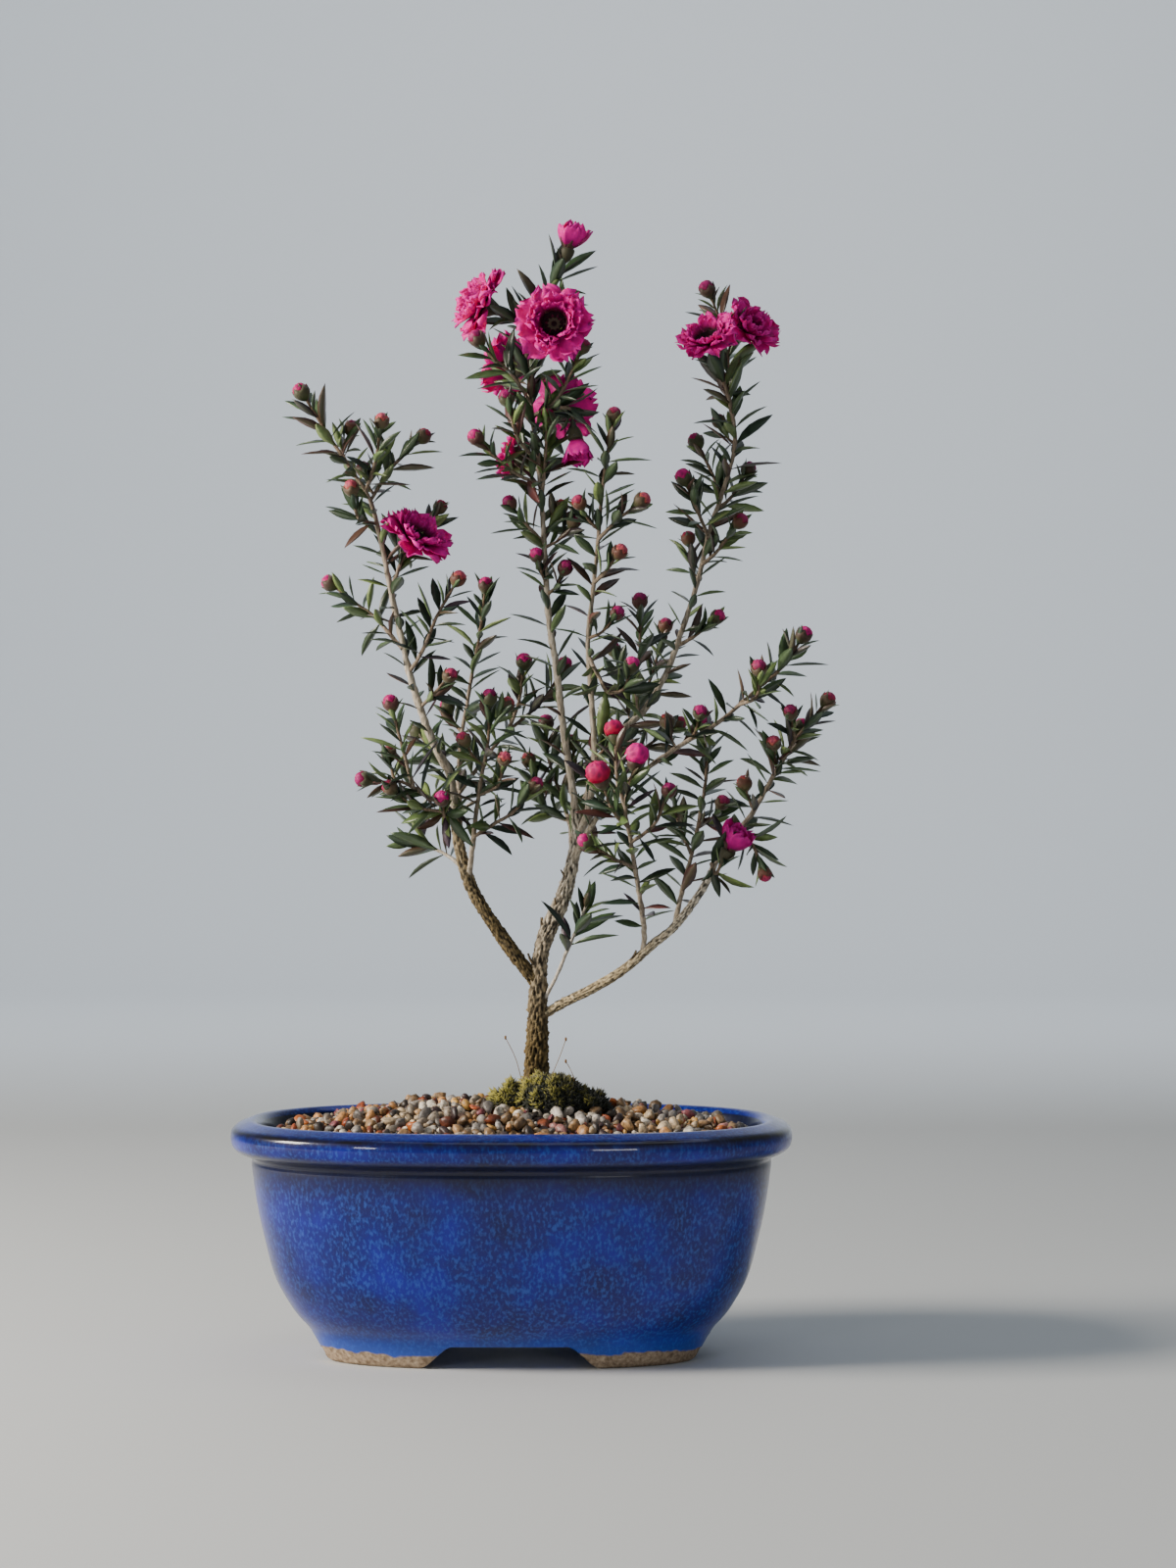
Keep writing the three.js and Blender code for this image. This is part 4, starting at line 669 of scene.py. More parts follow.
def frames_along(path):
    """Directions ahead, out and to the side at each point of a path, three at right angles. Out is
    the axis that the path keeps farthest from, made square to it, so nothing twists."""
    ahead = unit(np.gradient(path, axis=0))
    out = np.eye(3)[np.argmin(np.abs(ahead).max(0))] - 0 * ahead
    out = unit(out - ahead * (ahead * out).sum(1, keepdims=True))
    return ahead, out, np.cross(ahead, out)


def tube(path, radii, sides, rough=1.0):
    """Rings round a path; rough, of the shape (rings, sides), multiplies the radius."""
    _, out, side = frames_along(path)
    angle = turn_of(sides)[:, None]
    reach = np.broadcast_to(radii, len(path))[:, None] * rough
    reach = np.broadcast_to(reach, (len(path), sides))[..., None]
    return path[:, None] + reach * (out[:, None] * np.cos(angle) + side[:, None] * np.sin(angle))


for foot, top in CAPSULES:
    path, _ = curve_through([foot, np.add(foot, top) / 2 + (0.4, 0, 0.6), top], 0.5)
    moss_bits.append(bit(*skin(tube(path, STALK_HALF, 5)), "#8a6a3a"))
    moss_bits.append(bit(*skin(np.array(top) + ball(5, 6) * POD_HALF), "#7a5a30"))

# The leaflets' material: soft and dull, with a faint sheen where light grazes them.
moss_leaf, moss_shader = new_material("cushion moss leaflets")
link(moss_leaf, moss_shader, {
    "Base Color": stored(moss_leaf, "tint"), "Roughness": 0.8, "IOR": 1.4, "Sheen Weight": 0.15,
})
make_piece("moss_cushion", moss_bits, [moss_leaf], "moss", "moss")

# The trunk and its two limbs: one piece of old wood, about 6 mm through at the gravel, with stubs
# of broken twigs. The bark is tan and olive, split into shaggy strips low down, and weathered
# nearly white higher up. Each row is a place and the half thickness there, mm.
READING_LIFT = 3.0  # the heights as listed start this far above the table, mm
TRUNK = [
    (8, 2, 40, 1.6), (7.6, 1, 50, 3), (7.2, 0, 60, 4), (7, 0, 67, 4), (6.7, 0, 75, 3.15),
    (7, 0, 85, 2.8), (7.1, 0, 95, 2.4), (7.3, 0, 101, 2.2), (8, 0, 107, 2.05), (9.5, 0, 112, 2.15),
    (12, 0, 117.5, 2.15), (14, 0, 122, 2.05), (15.7, 0, 128, 1.8), (17, 0, 134, 1.6),
    (17.8, 0.5, 140, 1.4), (17.4, 1, 146, 1.25),
]
LEFT_LIMB = [
    (6.6, 0, 98.5, 1.6), (1, -1, 106, 1.85), (-3, -1, 111.5, 1.75), (-7, -2, 117.5, 1.7),
    (-10.5, -2, 123.5, 1.7), (-12.7, -3, 129, 1.6), (-14, -3, 134, 1.5), (-15, -4, 140, 1.45),
    (-15.7, -4, 145, 1.4),
]
RIGHT_LIMB = [
    (7.5, 0, 89, 1.1), (13, -1, 92.5, 1.3), (22, -4, 97, 1.3), (31, -6, 102.5, 1.25),
    (39, -8, 109.5, 1.2), (44, -9, 113.5, 1.15), (52, -10, 124, 1.05), (54.6, -11, 129, 1),
]
STUBS = [
    [(8.3, 0, 110, 0.7), (8.3, 0, 113, 0.6), (8.1, 0, 116.5, 0.4)],
    [(12.4, 0, 118.5, 0.5), (11.9, -1.8, 120.5, 0.3), (11.6, -2.2, 121.8, 0.15)],
    [(15.2, 0, 127, 0.5), (13.9, -1.5, 128.6, 0.3), (13.3, -1.8, 129.6, 0.15)],
    [(6.4, -1, 103, 0.5), (5.0, -2.2, 105, 0.4), (4.4, -2.6, 106.6, 0.3)],
    [(31, -6, 102.5, 0.6), (33.4, -7.5, 106, 0.4), (34, -8, 107.4, 0.3)],
]
LIMBS = [  # places, sides, step in mm, depth of the fissures, and colours low and high on it
    (TRUNK, 64, 0.35, 0.1, "#7c6a40", "#f2eadc"), (LEFT_LIMB, 44, 0.35, 0.09, "#7e6e48", "#b0a284"),
    (RIGHT_LIMB, 40, 0.35, 0.08, "#d8c8a4", "#f4eee2"),
    *[(stub, 10, 0.4, 0.05, "#7a6a4e", "#8d7c60") for stub in STUBS],
]


def seen(places):
    """Places read at the trunk's depth, moved along the line of sight to their own depth y: x and z
    leave the eye's by (930 + y) / 930."""
    x, y, z = np.moveaxis(np.array(places, float), -1, 0)
    scale = (y - EYE[1]) / -EYE[1]
    return np.stack([
        EYE[0] + (x - EYE[0]) * scale, y, EYE[2] + (z + READING_LIFT - EYE[2]) * scale,
    ], axis=-1)


def bark_skin(places, sides, step, fissure, seed):
    """A limb through places with half thicknesses: its rings, the run to each and its ridges. The
    radius is multiplied by 1 plus fissure times the ridges, which are waves over the bark, 3.5
    times as long as they are wide and cut off above 0.8, and 0.6 of others as long as wide."""
    places = np.array(places, float)
    spots = seen(places[:, :3])
    path, run = curve_through(spots, step)
    marks = run_along(spots)
    radii = np.interp(run / run[-1], marks / marks[-1], places[:, 3])
    twist = turn_of(sides)[None] + 0.02 * run[:, None]
    unrolled = rings_round(radii[:, None], run[:, None] / 3.5, twist)
    ridges = np.minimum(waves(unrolled, seed, 0.7, 30), 0.8)
    ridges = ridges + 0.6 * waves(unrolled * (1, 1, 3), seed + 1, 0.9)
    return tube(path, radii, sides, 1 + fissure * ridges), run, ridges


def with_ends(rows):
    """Values for the rings of a skin and for its two middle points, which take those of the first
    and the last value."""
    rows = rows.reshape(-1, rows.shape[-1])
    return np.concatenate([rows, rows[:1], rows[-1:]])


def bark_tints(run, ridges, low, high):
    """Bark colours that go from the low to the high one over the upper part of the limb, darker in
    the fissures: partly the bark's own colour there and partly painted shade in the cracks."""
    share = ramp(run / run[-1], 0.35, 1.0)[:, None, None]
    low, high = rgb(low, high)
    # Darker in the fissures: partly the inner bark's own colour, partly painted shade in the
    # cracks.
    depth = np.clip(0.72 + 0.45 * ridges, 0.12, 1.25)[..., None]
    return with_ends(((1 - share) * low + share * high) * depth)


# The bark's material: strands five times as long as they are wide darken it and stand up, which
# reads as dry fibre.
bark, bark_shader = new_material("fissured stringy bark")
stringy = add(bark, "Mapping", {"Vector": own_place(bark), "Scale": (1.0, 1.0, 0.2)}).outputs[0]
strands = noise(bark, stringy, 1500.0, 4.0, 0.65)
grain = (0.3, "#5a4f42"), (0.5, "#c9c1b2"), (0.7, "#ffffff")
link(bark, bark_shader, {
    "Base Color": mottled(bark, 0.8, strands, *grain), "Roughness": 0.85, "IOR": 1.45,
    "Normal": bump(bark, strands, 0.9, 0.0005),
})

trunk_bits = []
for number, (places, sides, step, fissure, low, high) in enumerate(LIMBS):
    rings, run, ridges = bark_skin(places, sides, step, fissure, 100 + 7 * number)
    trunk_bits.append(bit(*skin(rings), bark_tints(run, ridges, low, high)))
make_piece("trunk_and_limbs", trunk_bits, [bark], "bark", "trunk")

# The leafy branches: each grew as one piece, of brown twigs with narrow pointed leaves in a spiral
# and a flower bud at the end. The leaves are leathery, dark green and some bronze; a bud is a round
# cup with five sepals and a ball of folded petals, brown while it is tight and pink as it swells.
SIDE_TWIG, BLOOM_TWIG, SPUR = (0.6, 0.5, 2), (0.62, 0.55, 3), (0.5, 0.4, 0.6)
# Each stem: what it ends in (a bud's width in mm, a bloom, or 0 for nothing), its places read in
# the photo, with their depth, and its half thickness at its start and end and its bare length in
# mm, where they aren't those of a side twig or of a bloom's twig.
STEMS = {
    "branch_leader": [
        ("bud_opening_top", [(17.4, 1, 146), (16.4, 2, 153), (14.5, 2, 165), (13.3, 2, 175),
         (12, 1, 186), (10.2, 0, 197), (9.2, -1, 212), (8.3, -1, 228), (7, -1, 243), (5.2, 0, 257),
         (4.4, 3, 273), (8, 6, 284), (13.6, 5, 293)], 1.15, 0.6, 9),
        ("bloom_top_front", [(4.4, 3, 273), (7, 2, 276.5)]),
        ("bloom_top_left", [(4.6, 4, 275), (2, 3, 279)]),
        ("bloom_back_left", [(5, 1, 259), (4.5, 6, 262)]),
        ("bloom_back_right", [(6, -0.5, 250), (8, 4, 250.5)]),
        ("bloom_drooping", [(6, -0.5, 250), (10, -3, 255), (15, -4, 256)], 0.62, 0.55, 4),
        ("bloom_inner", [(7.4, -1, 238), (7.2, 5, 239.5)]),
        (4.4, [(8.1, -1, 231), (9, -4, 240), (9.3, -5, 246), (9.5, -5, 251)]),
        (4.6, [(7.1, -1, 241), (1.5, -6, 248), (-0.8, -8, 256)]),
        (4.6, [(7.6, -1, 235), (1, -6, 238), (-4, -9, 242), (-8, -10, 246)]),
        (4.8, [(5.2, 0, 257), (0, -5, 265), (-5, -8, 269.5), (-7.8, -9, 272.8)]),
        (4.2, [(5.6, 0, 253.5), (12, -4, 258), (16.5, -5, 266), (18.5, -5, 270.5)]),
        (4.2, [(8.8, -1, 219), (4, -4, 224), (0.8, -5, 228)]),
    ],
    "branch_centre": [
        (4.4, [(17.6, 0.5, 138), (20.5, -3, 145), (22.5, -6, 156), (22.3, -7, 168), (21.5, -8, 180),
         (20.8, -8, 192), (22.3, -8, 207), (23.5, -7, 219), (24.4, -6, 230), (25.6, -6, 240),
         (27.5, -6, 251.5)], 1.05, 0.55, 5),
        (4.6, [(20.9, -8, 188), (24, -12, 182), (26.5, -15, 178), (30.5, -17, 179),
         (32, -18, 183)], 0.65, 0.5, 1),
        (4.6, [(23.8, -7, 220), (28, -9, 224.5), (33.5, -10, 229)]),
        (4.4, [(22.5, -8, 208), (25.5, -10, 211), (28, -11, 214.5)]),
    ],
    "branch_right_top": [
        ("bloom_right_front", [(17.8, 0.5, 139), (20, 5, 148), (23, 9, 157), (27, 13, 165),
         (36, 16, 173), (42.5, 17, 184), (47, 17, 196.5), (51, 18, 209), (54, 18, 222),
         (58, 17, 234), (61, 16, 246), (59.7, 14, 257)], 1.1, 0.65, 14),
        ("bloom_right_back", [(60, 14, 255), (59, 22, 264)]),
        (4.2, [(45.8, 17, 191), (50, 14, 193.5), (54.5, 12, 197.3)]),
        (4.4, [(52, 18, 213), (55.5, 15, 216), (61, 13, 223)]),
        (4.2, [(50.8, 18, 208), (49.3, 21, 212), (48.5, 23, 218)]),
        (4.6, [(56, 18, 228), (60, 21, 231.5), (63.5, 23, 237)]),
        (4.8, [(53.6, 18, 221), (51.5, 14, 226), (48, 11, 234.5)]),
        (4.8, [(56.8, 17, 230), (55.6, 22, 236), (51.5, 25, 244.5)]),
        (4.6, [(34.5, 15.5, 172), (33.9, 12, 181), (35, 10, 190), (35, 9, 200.5)]),
    ],
    "branch_right_middle": [
        (4.6, [(16.2, 0, 130.5), (22, -6, 142), (29, -10, 151.5), (36.5, -13, 157),
         (46, -17, 163.5), (56, -19, 169.5), (66, -20, 178), (75, -21, 186),
         (78.5, -21, 191.5)], 0.95, 0.55, 10),
        (4.6, [(62, -20, 174.5), (67, -25, 177), (67.5, -28, 182.3)]),
    ],
    "branch_front": [
        (6.4, [(36, -7.4, 107.2), (36.2, -9, 112), (35.6, -12, 118), (34, -17, 128),
         (32.4, -21, 138), (31, -24, 147), (33, -26, 156.2)], 0.85, 0.6, 7),
        (6.6, [(32, -22, 141), (28, -27, 145), (25.3, -30, 151.5)], 0.6, 0.55, 2),
        (5.6, [(31.2, -24, 146), (29, -24, 153), (28.3, -22, 163.5)], 0.6, 0.55, 2),
        (4.4, [(33.6, -18, 130), (27, -22, 133), (22.2, -24, 136)]),
        (4.2, [(32.6, -20.5, 137), (39, -25, 142), (42, -27, 149)]),
    ],
    "branch_right_inner": [
        (4.6, [(44.2, -9, 113.2), (46.5, -5, 123.5), (48.5, -2, 131), (51, 1, 142), (53, 3, 154),
         (53.2, 3, 160), (53, 3, 166.5)], 0.8, 0.5, 6),
        (4.2, [(49, -1, 134), (46, 4, 141), (44, 8, 149)]),
    ],
    "branch_right_low": [
        (4.4, [(54.6, -11, 129), (56, -11, 132), (58.5, -12, 135.5), (61.5, -12.5, 139.5),
         (65, -13, 144), (69, -13, 150.5), (72.5, -13, 157), (76, -13, 163), (81, -12, 169.5),
         (84.8, -12, 174)], 0.95, 0.5, 6),
        ("bloom_low_right", [(54.9, -11, 130.5), (54.6, -14, 131)], 0.62, 0.55, 2),
        (4, [(62, -12.5, 140), (66, -17, 136), (68.3, -18, 130.5)], 0.6, 0.5, 1),
        (4.6, [(70.3, -13, 153), (74, -7, 159), (78, -4, 166.5)]),
    ],
    "branch_left_top": [
        (4.8, [(-15.7, -4, 145), (-16.1, -4.3, 150), (-17, -5, 155.5), (-21, -6, 163),
         (-25, -7, 173.5), (-28, -8, 183), (-30.5, -9, 194), (-33, -10, 205), (-36, -11, 220),
         (-39, -12, 231), (-44, -12, 239), (-50, -12, 248), (-56.2, -12, 258)], 1.3, 0.55, 8),
        (4.6, [(-30, -9, 190), (-37.5, -5, 198.5), (-43.5, -2, 203),
         (-48, 0, 206.5)], 0.65, 0.5, 3),
        (4.4, [(-28.1, -8, 183.5), (-24.5, -12, 189.5), (-20.5, -14, 199),
         (-16, -15, 207)], 0.6, 0.5, 3),
        (4.2, [(-25, -7, 174), (-21.5, -11, 177.5), (-18.5, -13, 181)], 0.6, 0.5, 1),
        (4.2, [(-40, -12, 233), (-37.5, -16, 241), (-36, -18, 250)]),
        (4.4, [(-38.8, -12, 230.5), (-33, -9, 239.5), (-26, -6, 246.5)]),
        (4.4, [(-45, -12, 240.5), (-46.5, -8, 244), (-44.8, -5, 248.5)]),
        ("bloom_left", [(-33.2, -10, 206), (-31, -11, 212)]),
        (4, [(-34.5, -10.5, 213), (-27, -4, 219), (-21, -1, 227)]),
        (4.4, [(-36.6, -11, 224), (-42, -15, 226), (-43.5, -17, 231.5)]),
    ],
    "branch_left_inner": [
        (4.6, [(-12, -3, 127), (-11, -6, 134), (-9.8, -9, 145), (-8.3, -11, 155), (-6.5, -12, 165),
         (-6.3, -12, 174)], 0.85, 0.5, 9),
        (4.2, [(-10.4, -7.5, 138.5), (-5, -13, 142), (0, -15, 145), (5, -17, 151)], 0.6, 0.5, 3),
        (4, [(-9, -10, 150), (-4, -15, 152.5), (-2.5, -19, 158)]),
    ],
    "branch_left_back": [
        (4.4, [(-14, -3, 134), (-14.2, 3, 142), (-14.6, 9, 152), (-14, 12, 165), (-12.3, 13, 175),
         (-10.6, 13, 185), (-9, 13, 193), (-7.5, 12, 205)], 0.9, 0.5, 6),
        (4.4, [(-14.4, 8, 150.5), (-9, 14, 158), (-2, 17, 166.5), (6, 18, 173.5), (10, 18, 178),
         (13.2, 17, 183.5)], 0.65, 0.5, 3),
        (4.6, [(-1, 17, 167.5), (2, 14, 176), (3, 12, 184)]),
        (4.4, [(-14.4, 9.5, 154), (-20, 15, 160), (-25, 22, 166)]),
    ],
    "branch_left_low": [
        (4.6, [(-15.3, -4, 142), (-17, -8, 146), (-24, -13, 150), (-30, -15, 153.5),
         (-34, -16, 153.5), (-38, -17, 154)], 0.8, 0.5, 4),
        (4.6, [(-27, -14, 152), (-29.2, -17, 160), (-32.5, -18, 172.5)]),
        (4.4, [(-18, -9, 146.8), (-18.6, -15, 144), (-19, -18, 147)], 0.6, 0.5, 1),
    ],
    "branch_left_lowest": [
        (0, [(-13, -3, 129.5), (-17, 0, 133), (-22, 4, 135.5), (-28, 7, 136.8)], 0.65, 0.5, 5),
        (0, [(-23, 5, 135.8), (-25, 7, 139), (-25.5, 8, 145)]),
    ],
    "twig_trunk": [
        (0, [(8.8, 0, 94), (12, -5, 100), (16, -9, 109.5), (19, -11, 116),
         (20.5, -12, 120.5)], 0.6, 0.5, 16),
    ],
    "branch_back": [
        (4.6, [(16.4, 0, 131), (16, 9, 141), (13, 18, 151), (10, 23, 160),
         (9.5, 25, 167.3)], 0.85, 0.5, 8),
        (4.4, [(13.2, 17.5, 150.5), (17.5, 23, 155), (16.7, 27, 162.3)]),
        (4.2, [(15.5, 10.5, 143), (9, 14, 146), (5.2, 17, 157.5)]),
    ],
    "branch_back_right": [
        (4.4, [(17.6, 0.3, 138), (22, 10, 145), (27, 20, 155), (32, 27, 168), (38, 31, 182),
         (41.3, 32, 194)], 0.85, 0.5, 8),
        (4.6, [(28, 21.5, 157.5), (35, 24, 162), (43.5, 26, 168)]),
        (4.4, [(32.6, 27.5, 169.5), (31, 33, 178), (28.5, 35, 187.5)]),
    ],
}
# Buds on short spurs of their own: place and width.
SPUR_BUDS = {
    "branch_leader": [(13.5, -4, 210, 4.4), (7.3, -5, 213.5, 4.2), (12.5, 3, 227, 4.2),
        (15.5, -3, 223, 4.2)],
    "branch_centre": [(27.5, -12, 198, 4), (19.5, -10, 228, 4.2), (26.5, -10, 165, 4.2)],
    "branch_right_top": [(57.5, 20, 250.5, 4.2), (54.5, 20, 286, 4.8)],
    "branch_right_middle": [(51, -23, 170.5, 4.2), (43, -12, 168, 4.4)],
    "branch_right_inner": [(56.3, -3, 146, 4.2)],
    "branch_right_low": [(71.8, -17, 162, 4.2), (64.2, -9, 151, 4.4), (76.5, -17, 170.5, 4.2)],
    "branch_left_top": [(-40, -8, 237, 4.4)],
    "branch_left_inner": [(-2.5, -10, 172.5, 4.4), (-12, -12, 163, 4.2)],
    "branch_left_back": [(-16.8, 15, 172, 4.4)],
    "branch_left_low": [(-33.3, -12, 159, 4.4), (-31.5, -19, 150.5, 4.2)],
}
# Blooms: the middle of the flower, the way it faces, the reach of its petals and its kind.
BLOOMS = {
    "bloom_top_front": ((11.5, -8, 279), (-0.05, -1, 0.12), 10.4, "double"),
    "bloom_top_left": ((-8, 0, 284), (-0.8, -0.35, 0.4), 9.8, "double"),
    "bloom_back_left": ((0.5, 15, 267), (-0.65, 0.6, 0.3), 9.2, "single"),
    "bloom_back_right": ((13, 12, 255), (0.35, 0.8, 0.42), 9.8, "single"),
    "bloom_drooping": ((17.4, -3, 247.4), (0.15, -0.25, -0.95), 6.6, "half_open"),
    "bloom_inner": ((1.6, 10, 242), (-0.9, 0.3, 0.25), 6.4, "single"),
    "bloom_left": ((-26.5, -13, 220), (0.5, -0.5, 0.7), 9.4, "double"),
    "bloom_right_front": ((54, 8, 274.5), (-0.3, -0.6, 0.7), 8.2, "double"),
    "bloom_right_back": ((64.5, 22, 277), (0.55, -0.6, 0.45), 8.2, "single"),
    "bloom_low_right": ((59.4, -18, 135), (0.45, -0.3, 0.85), 6.4, "half_open"),
    "bud_opening_top": ((15.2, 4, 299.5), (0.25, -0.1, 0.95), 6.2, "half_open"),
}
CUP_LENGTH = 4.6  # from a bloom's middle back to the end of its twig
BROWN_BUDS = [  # where buds are still tight and brown, to within 2 mm
    (-44.8, 247.5), (-36, 250), (-26, 246.5), (-43.5, 230.5), (-21, 227), (-16, 207), (-18.5, 181),
    (-33.3, 158), (-31.5, 152.2), (-12, 163), (-3, 158), (-2.5, 172.5), (5.2, 157.5), (5, 151),
    (12.5, 227), (15.5, 223), (28, 214.5), (16, 193), (33.5, 229), (27.5, 251.5), (18.5, 270.5),
    (41.3, 194), (16.7, 162.3), (43.5, 168), (48.5, 218), (61, 223), (56.3, 250), (67.5, 182.3),
    (76.5, 169.5), (84.8, 174), (71.5, 161), (64.7, 150.4), (56.3, 145), (68.3, 130.5), (19.5, 228),
    (26.5, 165),
]
OPENING_BUD = 5.5  # mm wide, from which a bud is a ball of bright petals
BUD_COLOURS = [  # cups of tight and swelling buds, then balls of tight, swelling and opening ones
    ("#51402a", "#5c3424", "#4a3a26"), ("#3f2a1c", "#4c2420", "#3a3a1e"),
    ("#8e3420", "#7a2424", "#b05c38"), ("#a80050", "#bc0066", "#780034"), ("#e00080", "#b00038"),
]
LEAF_GREENS = ["#243420", "#31462a", "#435a38", "#2b3e30", "#586e3e", "#708448"]
LEAF_BRONZES = ["#4a3226", "#5e3432", "#42303c"]
BRONZE_ODDS = 0.2
LEAF_ROWS = np.array([  # way along the leaf and share of its half width
    (0.0, 0.16), (0.1, 0.34), (0.28, 0.8), (0.5, 1.0), (0.72, 0.78), (0.9, 0.34),
])
LEAF_MIDRIB = 0.14  # half thickness of a leaf along its midrib, mm
LEAF_TURN = 137.5  # degrees from leaf to leaf round the stem


def stem_path(end, places):
    """Path of a stem, its last stretch turned straight into the cup of the bloom it bears."""
    spots = seen(places)
    if isinstance(end, str):
        at, faces = BLOOMS[end][:2]
        back = unit(np.array(faces, float))
        cups = [seen(at) - back * (CUP_LENGTH + away) for away in (3.2, 0.0)]
        spots = np.concatenate([spots, cups])
    return curve_through(spots, 0.5)


def spur_path(wood, spot):
    """Path from the nearest point of the wood that isn't above the spot, sagging an eighth of its
    length."""
    end = seen(spot)
    score = np.linalg.norm(wood - end, axis=1) + 2 * np.maximum(0, wood[:, 2] - end[2] + 5)
    start = wood[np.argmin(score)]
    middle = start + 0.6 * (end - start) - (0, 0, 0.12 * np.linalg.norm(end - start))
    return curve_through([start, middle, end], 0.5)


def leaves_on(path, run, radii, bare, ends_in_bud, draw):
    """Leaves in a spiral along a stem: 1 mm apart at the tip and up to 2.3 mm on old wood, leaning
    26 degrees off the stem at the tip and 66 lower down, and 6 to 11 mm long before their own
    share, least at the tip."""
    from_tip = []
    reach = 0.6
    while reach < run[-1] - bare:
        from_tip.append(reach)
        reach += min(0.95 + 0.016 * reach, 2.3) * draw.uniform(0.8, 1.2)
    from_tip = np.array(from_tip)
    count = len(from_tip)
    if not count:
        return []
    index = np.clip(np.searchsorted(run, run[-1] - from_tip), 0, len(run) - 1)
    angle = np.arange(count) * np.radians(LEAF_TURN) + draw.uniform(0, 6.28)
    angle = (angle + 0.25 * draw.normal(size=count))[:, None]
    ahead, out, side = (way[index] for way in frames_along(path))
    outward = out * np.cos(angle) + side * np.sin(angle)
    length = np.clip(5.4 + 0.7 * from_tip, 6.0, 10.6) * draw.uniform(0.72, 1.2, count)
    length *= np.where(from_tip > 60, 0.85, 1.0)
    lean = np.radians(np.clip(26 + 2.6 * from_tip, 26, 66) + 10 * draw.normal(size=count))[:, None]
    if not ends_in_bud:
        length, lean = length * 1.15, lean * 0.85
    along = ahead * np.cos(lean) + outward * np.sin(lean)
    across = unit(np.cross(along, ahead), 1e-9)
    over = np.cross(across, along)
    roll = 0.3 * draw.normal(size=(count, 1))
    rolled = across * np.cos(roll) + over * np.sin(roll)
    over = over * np.cos(roll) - across * np.sin(roll)
    foot = path[index] + outward * radii[index][:, None] * 0.6
    half = length * draw.uniform(0.11, 0.14, count) + 0.14
    return [blades(foot, along, rolled, over, length, half, leaf_tints(from_tip, draw), draw)]


def leaf_tints(from_tip, draw):
    """A green for each leaf, lighter near the tip, and bronze or purple for about one in five."""
    greens, bronzes = rgb(*LEAF_GREENS), rgb(*LEAF_BRONZES)
    count = len(from_tip)
    tints = greens[draw.integers(0, len(greens), count)]
    tints = tints * (1 + 0.35 * np.exp(-from_tip / 6))[:, None]
    bronze = draw.random(count) < BRONZE_ODDS
    tints[bronze] = bronzes[draw.integers(0, len(bronzes), bronze.sum())]
    return tints * draw.uniform(0.8, 1.2, (count, 1))


def set_out(feet, axes, reaches):
    """Rings of equal copies: points at reaches along each copy's own axes, from its foot."""
    points = feet[:, None, None]
    for axis, reach in zip(axes, reaches):
        points = points + axis[:, None, None] * reach[..., None]
    return points


def blades(foot, along, across, over, length, half, tints, draw):
    """Lance-shaped leaves with a keel: four corners at each of six rows, at the two edges, over the
    midrib and under it. The edges rise 0.35 of the half width, and the tip bends back as the square
    of the way."""
    way, width = LEAF_ROWS.T
    count = len(foot)
    wide = half[:, None] * width
    length = length[:, None]
    curl = length * (0.05 + 0.07 * draw.normal(size=(count, 1))) * way**2
    sway = length * 0.05 * draw.normal(size=(count, 1)) * way**2
    thick = LEAF_MIDRIB * (0.4 + 0.6 * width) + 0 * curl
    heights = np.stack([0.35 * wide, thick, 0.35 * wide, -thick], axis=-1)
    sideways = wide[..., None] * np.array([1.0, 0.0, -1.0, 0.0]) + sway[..., None]
    reaches = ((length * way)[..., None], sideways, heights - curl[..., None])
    points, faces = skin(set_out(foot, (along, across, over), reaches))
    tip = foot + along * length - over * (curl[:, -1:] * 1.25)
    points[:, -1] = tip + across * sway[:, -1:] * 1.25
    under = [0.5, 0.0, 0.5, 1.0] * len(way) + [0.5, 0.5]
    tints = np.repeat(tints, points.shape[1], axis=0)
    return bit(*many(points, faces), tints, look=1, share=np.tile(under, count))


# A bud along its own axis, in half widths of the bud. Cup rows: height, radius and how much the
# five sepals lift the row. Ball rows: height and radius of the folded petals.
CUP_ROWS = np.array([
    (0.0, 0.24, 0), (0.22, 0.5, 0), (0.6, 0.82, 0), (1.0, 0.98, 0), (1.3, 0.97, 0.36),
    (1.31, 0.87, 0.33), (1.0, 0.72, 0),
])
BALL_ROWS = np.array([
    (0.8, 0.72), (1.1, 0.87), (1.4, 0.9), (1.68, 0.8), (1.9, 0.6), (2.05, 0.36), (2.1, 0.12),
])
BUD_SIDES = 20
CUP_SIZE, BALL_SIZE = ((0.92, 1.0), (0.72, 0.7)), ((1.0, 1.0), (1.15, 1.12))
# height and width for a closed bud, then for an opening one


